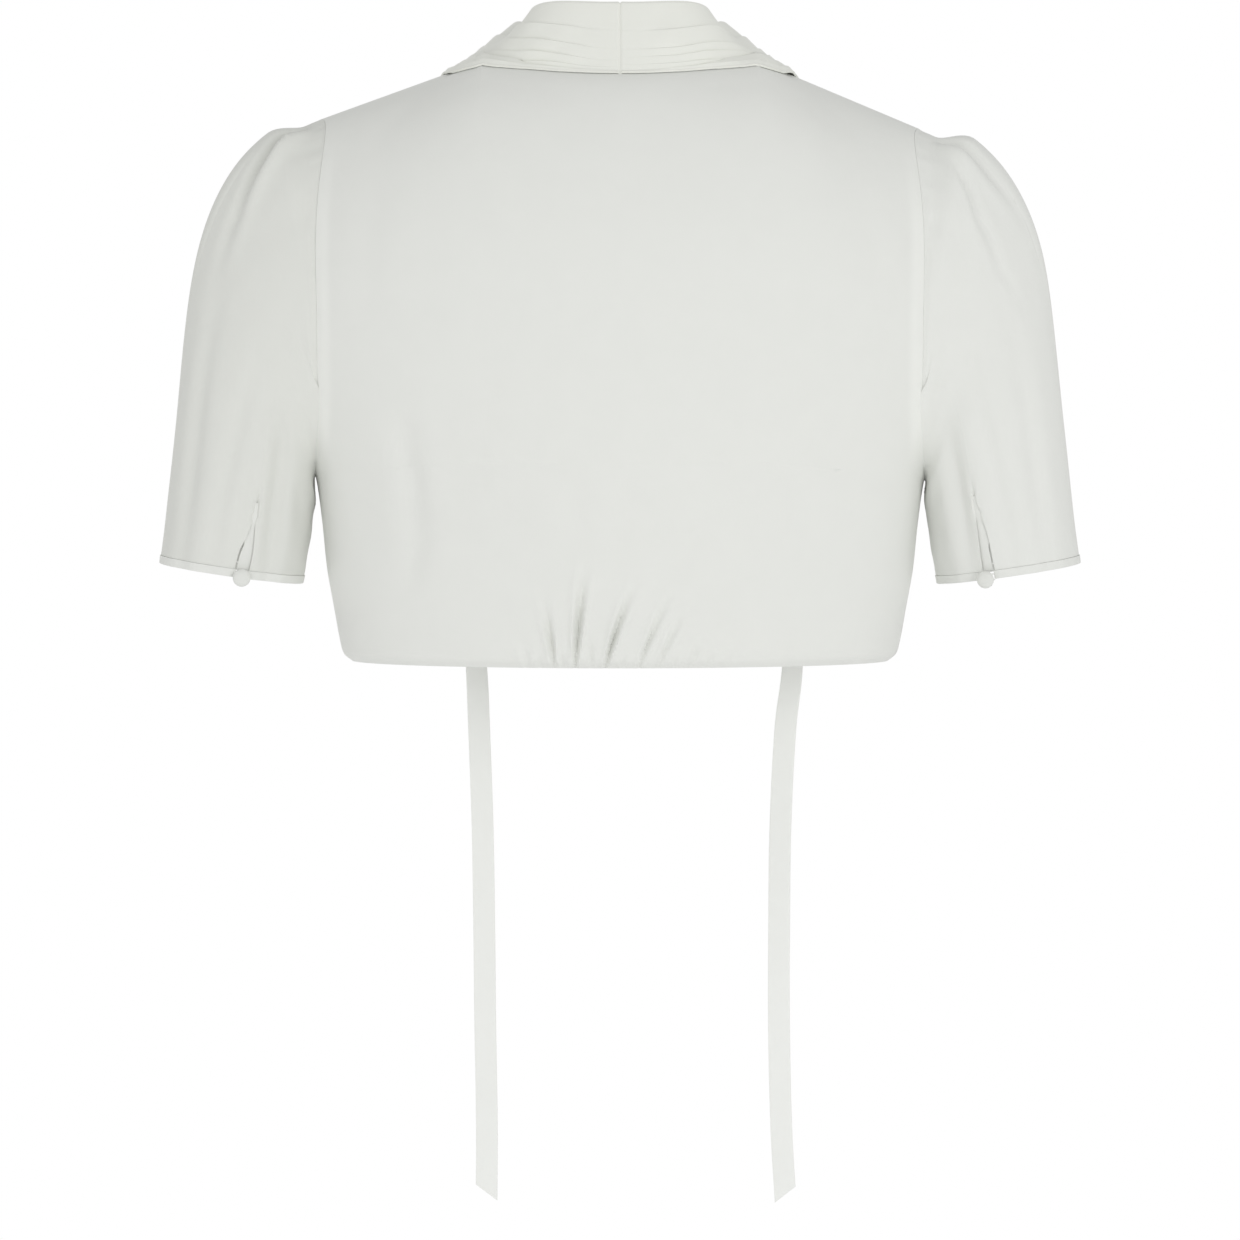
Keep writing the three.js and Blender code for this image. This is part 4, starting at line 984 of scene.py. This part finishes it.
def collar_section(at, distance):
    """How far over the panels and up from them a place in the collar lies, and its turn."""
    stand, bend, lean, roll = (curve(COLLAR, "at", key, at)
                               for key in ("stand", "bend", "lean", "roll"))
    lean, roll = np.radians(lean), np.radians(roll)
    turn = roll * np.clip(distance - stand, 0, bend) / bend - lean
    radius = bend / roll
    rest = np.maximum(distance - stand - bend, 0)
    low = np.minimum(distance, stand)
    over = -low * np.sin(lean) + radius * (np.cos(lean) - np.cos(turn)) + rest * np.sin(turn)
    up = low * np.cos(lean) + radius * (np.sin(turn) + np.sin(lean)) + rest * np.cos(turn)
    return over, up, turn


TUCK_EDGE = 0.016


def collar_shares(tucks):
    """Shares of the collar, close together in its roll and at both sides of each tuck's edge."""
    stand_end, bend_end = COLLAR_PARTS
    fall = list(np.linspace(0, 1, 56))
    for tuck in tucks:
        end = tuck + TUCK_EDGE
        fall = [f for f in fall if not tuck - 0.008 < f < end + 0.022]
        fall += [tuck - 0.004, tuck, tuck + 0.4 * TUCK_EDGE, end, end + 0.006, end + 0.014]
    return np.concatenate([np.linspace(0, stand_end, 14)[:-1],
                           np.linspace(stand_end, bend_end, 15)[:-1],
                           lerp(bend_end, 1, np.array(sorted(fall)))])


def tuck_lift(tucks, in_fall):
    """Each layer of the fall is highest at its folded upper edge and lies down towards the next."""
    lift = np.zeros_like(in_fall)
    ends = tucks[1:] + [1.0]
    for tuck, end in zip(tucks, ends):
        start = tuck + TUCK_EDGE
        within = (in_fall > tuck) & (in_fall <= end)
        rise = clamp01((in_fall - tuck) / TUCK_EDGE)
        down = clamp01((end - in_fall) / (end - start))
        lift = np.where(within, rise * down ** 0.75, lift)
    return lift


def make_collar(side, back, front):
    seam = collar_seam(side, back, front)
    sign = SIDES[side]
    at = np.concatenate([[0.03, 0.3, 0.6, 1.0, 1.6], np.linspace(2.5, 175, 110),
                         np.linspace(175, COLLAR_END, 100)[1:]])
    tucks = TUCKS[side]
    across = collar_shares(tucks)
    point, up, over = seam_frames(side, seam, at)
    everywhere = np.repeat(at[:, None], len(across), 1)
    # The tucks run a little uneven: the fall slides across itself along its length.
    in_fall = clamp01((across - COLLAR_PARTS[1]) / (1 - COLLAR_PARTS[1]))
    slide = (0.014 * np.sin(at / 27.0 + sign)
             + 0.010 * np.sin(at / 11.0 + 2 * sign) * smooth(at / 40))
    slide += 0.10 * (1 - smooth(at / 85))
    moved = across[None, :] + slide[:, None] * np.sin(np.pi * in_fall)[None, :]
    distance = collar_place(everywhere, moved)
    section_over, section_up, turn = collar_section(everywhere, distance)
    middle = (point[:, None] + up[:, None] * (section_up + 0.35)[..., None]
              + over[:, None] * section_over[..., None])
    facing = over[:, None] * np.cos(turn)[..., None] - up[:, None] * np.sin(turn)[..., None]
    # It keeps clear of the panels, and its edge lies closest to them.
    flat = middle.reshape(-1, 3)
    clearance = lerp(2.7, 1.15, smooth((in_fall - 0.72) / 0.28))
    wanted = np.minimum(clearance[None, :], 0.4 + 0.7 * distance).reshape(-1)
    for i, p in enumerate(flat):
        panel_facing, height, _ = over_panels(p)
        if height < wanted[i]:
            flat[i] = p + panel_facing * (wanted[i] - height)
    middle = flat.reshape(middle.shape)
    normals = grid_normals(middle, facing)
    normals[0, :, 0] = 0
    normals = unit(normals)
    lift = tuck_lift(tucks, in_fall)
    full = smooth((at - 8) / 56)
    uneven = 1 + 0.35 * wrinkles(middle.shape[:2], 63 + sign, 9, 2)
    depth = (lerp(0.1, 1.6, full) - 0.7 * bell((at - 115) / 30))[:, None] * uneven
    waves = 0.55 * wrinkles(middle.shape[:2], 65 + sign, 13, 3)
    raised = (depth * lift[None, :]
              + waves * smooth(in_fall / 0.2)[None, :] * smooth(at / 30)[:, None])
    raised *= 1 - 0.8 * smooth((in_fall - 0.93) / 0.07)[None, :]
    # The centre back seam draws both halves in.
    raised -= 0.9 * bell(at / 0.8)[:, None] * np.ones_like(in_fall)[None, :]
    half = DOUBLE / 2
    # Both faces of the doubled cloth follow the same folds.
    outer = middle + normals * (half - raised)[..., None]
    inner = middle - normals * (half + raised)[..., None]
    piece = wall(f"collar_cloth_{side}", outer, inner, COLLAR_COTTON, [f"collar_{side}"])


# Ties
def front_place(side, x, z):
    """Points of a front panel and its normals, from how far out and how high they are."""
    share = np.maximum(0, (z - HEM_HEIGHT) / (NECK_SIDE_RISE - HEM_HEIGHT))
    ellipse = ellipse_at("front", share)
    start, end = ellipse["start"], ellipse["end"]
    across = (np.arcsin(x / ellipse["half_width"]) - start) / (end - start)
    point = front_points(side, across, share)
    along = front_points(side, across + 0.01, share) - point
    up = front_points(side, across, share + 0.01) - point
    normal = unit(np.cross(along, up))
    return point, np.where(normal[..., 1:2] > 0, -normal, normal)


def make_tie(side):
    sign = SIDES[side]
    bottom = TIE_DRIFT["height"][0]
    rows = np.concatenate([np.linspace(bottom, HEM_HEIGHT, 200)[:-1],
                           np.linspace(HEM_HEIGHT, TIE_TOP, 20)])
    column = np.sin(np.linspace(-np.pi / 2, np.pi / 2, 13))
    slanted = clamp01((HEM_HEIGHT - rows) / (HEM_HEIGHT - bottom)) ** 24
    z = rows[:, None] + slanted[:, None] * TIE_SLANT * (column + 1)[None, :] / 2
    centre = curve(TIE_DRIFT, "height", side, z)
    point, normal = front_place(side, centre, np.maximum(z, HEM_HEIGHT))
    hanging = smooth((HEM_HEIGHT - z) / 60)
    down = (TIE_TOP - z) / (TIE_TOP - HEM_HEIGHT)
    behind = lerp(2.5, 4.3, smooth(down))
    facing = unit(lerp(normal, np.array([0, -1, 0.0]), (0.7 * hanging)[..., None]))
    sideways = unit(np.stack([-facing[..., 1], facing[..., 0], np.zeros_like(centre)], -1)) * sign
    # A slight cupping and twist, as cut strips have when they hang free
    twist = (1.6 * np.sin((z + 40 * sign) / 66.0) * hanging
             + 0.7 * np.sin(z / 27.0 + sign) * hanging)
    middle = point.copy()
    middle[..., 2] = z
    middle = (middle - normal * behind[..., None]
              + sideways * (column * TIE_WIDTH / 2)[None, :, None]
              + facing * (twist * column[None, :] * 0.5)[..., None])
    normals = grid_normals(middle, np.broadcast_to(np.array([0, -1.0, 0]), middle.shape))
    piece = rounded_wall(f"tie_cloth_{side}", middle, normals, DOUBLE / 2, TIE_COTTON,
                         [f"tie_{side}"])


back = make_back()
fronts = {side: make_front(side) for side in SIDES}
panels = (back, *fronts.values())
panel_points = np.concatenate([grid.reshape(-1, 3) for grid, _ in panels])
panel_facings = np.concatenate([normals.reshape(-1, 3) for _, normals in panels])
panel_tree = KDTree(len(panel_points))
for index, p in enumerate(panel_points):
    panel_tree.insert(p, index)
panel_tree.balance()
for side in SIDES:
    sleeve = make_sleeve(side, back, fronts[side])
    make_underlap(side, sleeve)
    make_binding(side, sleeve)
    make_button(side, sleeve)
    make_loop(side, sleeve)
    make_collar(side, back, fronts[side])
    make_tie(side)


# Camera, floor and light
def look_at(obj, target):
    obj.rotation_mode = "QUATERNION"
    obj.rotation_quaternion = (Vector(target) - obj.location).to_track_quat("-Z", "Y")


camera = placed_object("camera", bpy.data.cameras.new("camera"))
camera.data.lens = 144.85
camera.data.clip_end = 50
camera.location = (0.0, 3.2, -0.194)
look_at(camera, (0.0, 0.11, -0.341))
bpy.context.scene.camera = camera
bpy.context.scene.view_settings.view_transform = "Standard"


def area_light(name, location, target, size, energy):
    data = bpy.data.lights.new(name, "AREA")
    data.shape = "DISK"
    data.size = size
    data.energy = energy
    light = placed_object(name, data)
    light.location = location
    look_at(light, target)


# Name, place, aim, size and power of each lamp
LAMPS = [
    ("key", (-1.5, 3.0, 0.15), (0, 0, -0.25), 2.0, 27.5),
    ("fill", (1.8, 2.8, -0.4), (0, 0, -0.3), 2.0, 10),
    ("left edge", (3.0, 0.9, -1.1), (0, 0, -0.4), 1.2, 9),
    ("right edge", (-3.0, 0.9, -0.9), (0, 0, -0.35), 1.2, 5),
    ("front", (0.3, -3.0, 0.4), (0, 0, -0.3), 2.6, 30),
]
for lamp in LAMPS:
    area_light(*lamp)

# The world is white where the camera sees it and dimmer where it lights the cloth.
world = bpy.data.worlds.new("studio")
bpy.context.scene.world = world
world.use_nodes = True
nodes, links = world.node_tree.nodes, world.node_tree.links
seen = nodes["Background"]
seen.inputs["Color"].default_value = (1, 1, 1, 1)
seen.inputs["Strength"].default_value = 1.0
lighting = nodes.new("ShaderNodeBackground")
lighting.inputs["Color"].default_value = (1, 1, 1, 1)
lighting.inputs["Strength"].default_value = 0.61
light_path = nodes.new("ShaderNodeLightPath")
either = nodes.new("ShaderNodeMixShader")
links.new(light_path.outputs["Is Camera Ray"], either.inputs["Fac"])
links.new(lighting.outputs["Background"], either.inputs[1])
links.new(seen.outputs["Background"], either.inputs[2])
links.new(either.outputs["Shader"], nodes["World Output"].inputs["Surface"])

FLOOR_HEIGHT, FLOOR_RADIUS, FLOOR_CORNERS = -1.42, 3.2, 96
floor = bpy.data.meshes.new("floor")
ring = [(FLOOR_RADIUS * math.cos(a), FLOOR_RADIUS * math.sin(a), FLOOR_HEIGHT)
        for a in np.linspace(0, 2 * np.pi, FLOOR_CORNERS + 1)[:-1]]
floor.from_pydata(ring, [], [list(range(FLOOR_CORNERS))])
placed_object("floor", floor)
floor_material = bpy.data.materials.new("floor")
floor_material.use_nodes = True
floor_shader = floor_material.node_tree.nodes["Principled BSDF"]
floor_shader.inputs["Base Color"].default_value = (0.9, 0.9, 0.9, 1)
floor_shader.inputs["Roughness"].default_value = 0.9
floor.materials.append(floor_material)
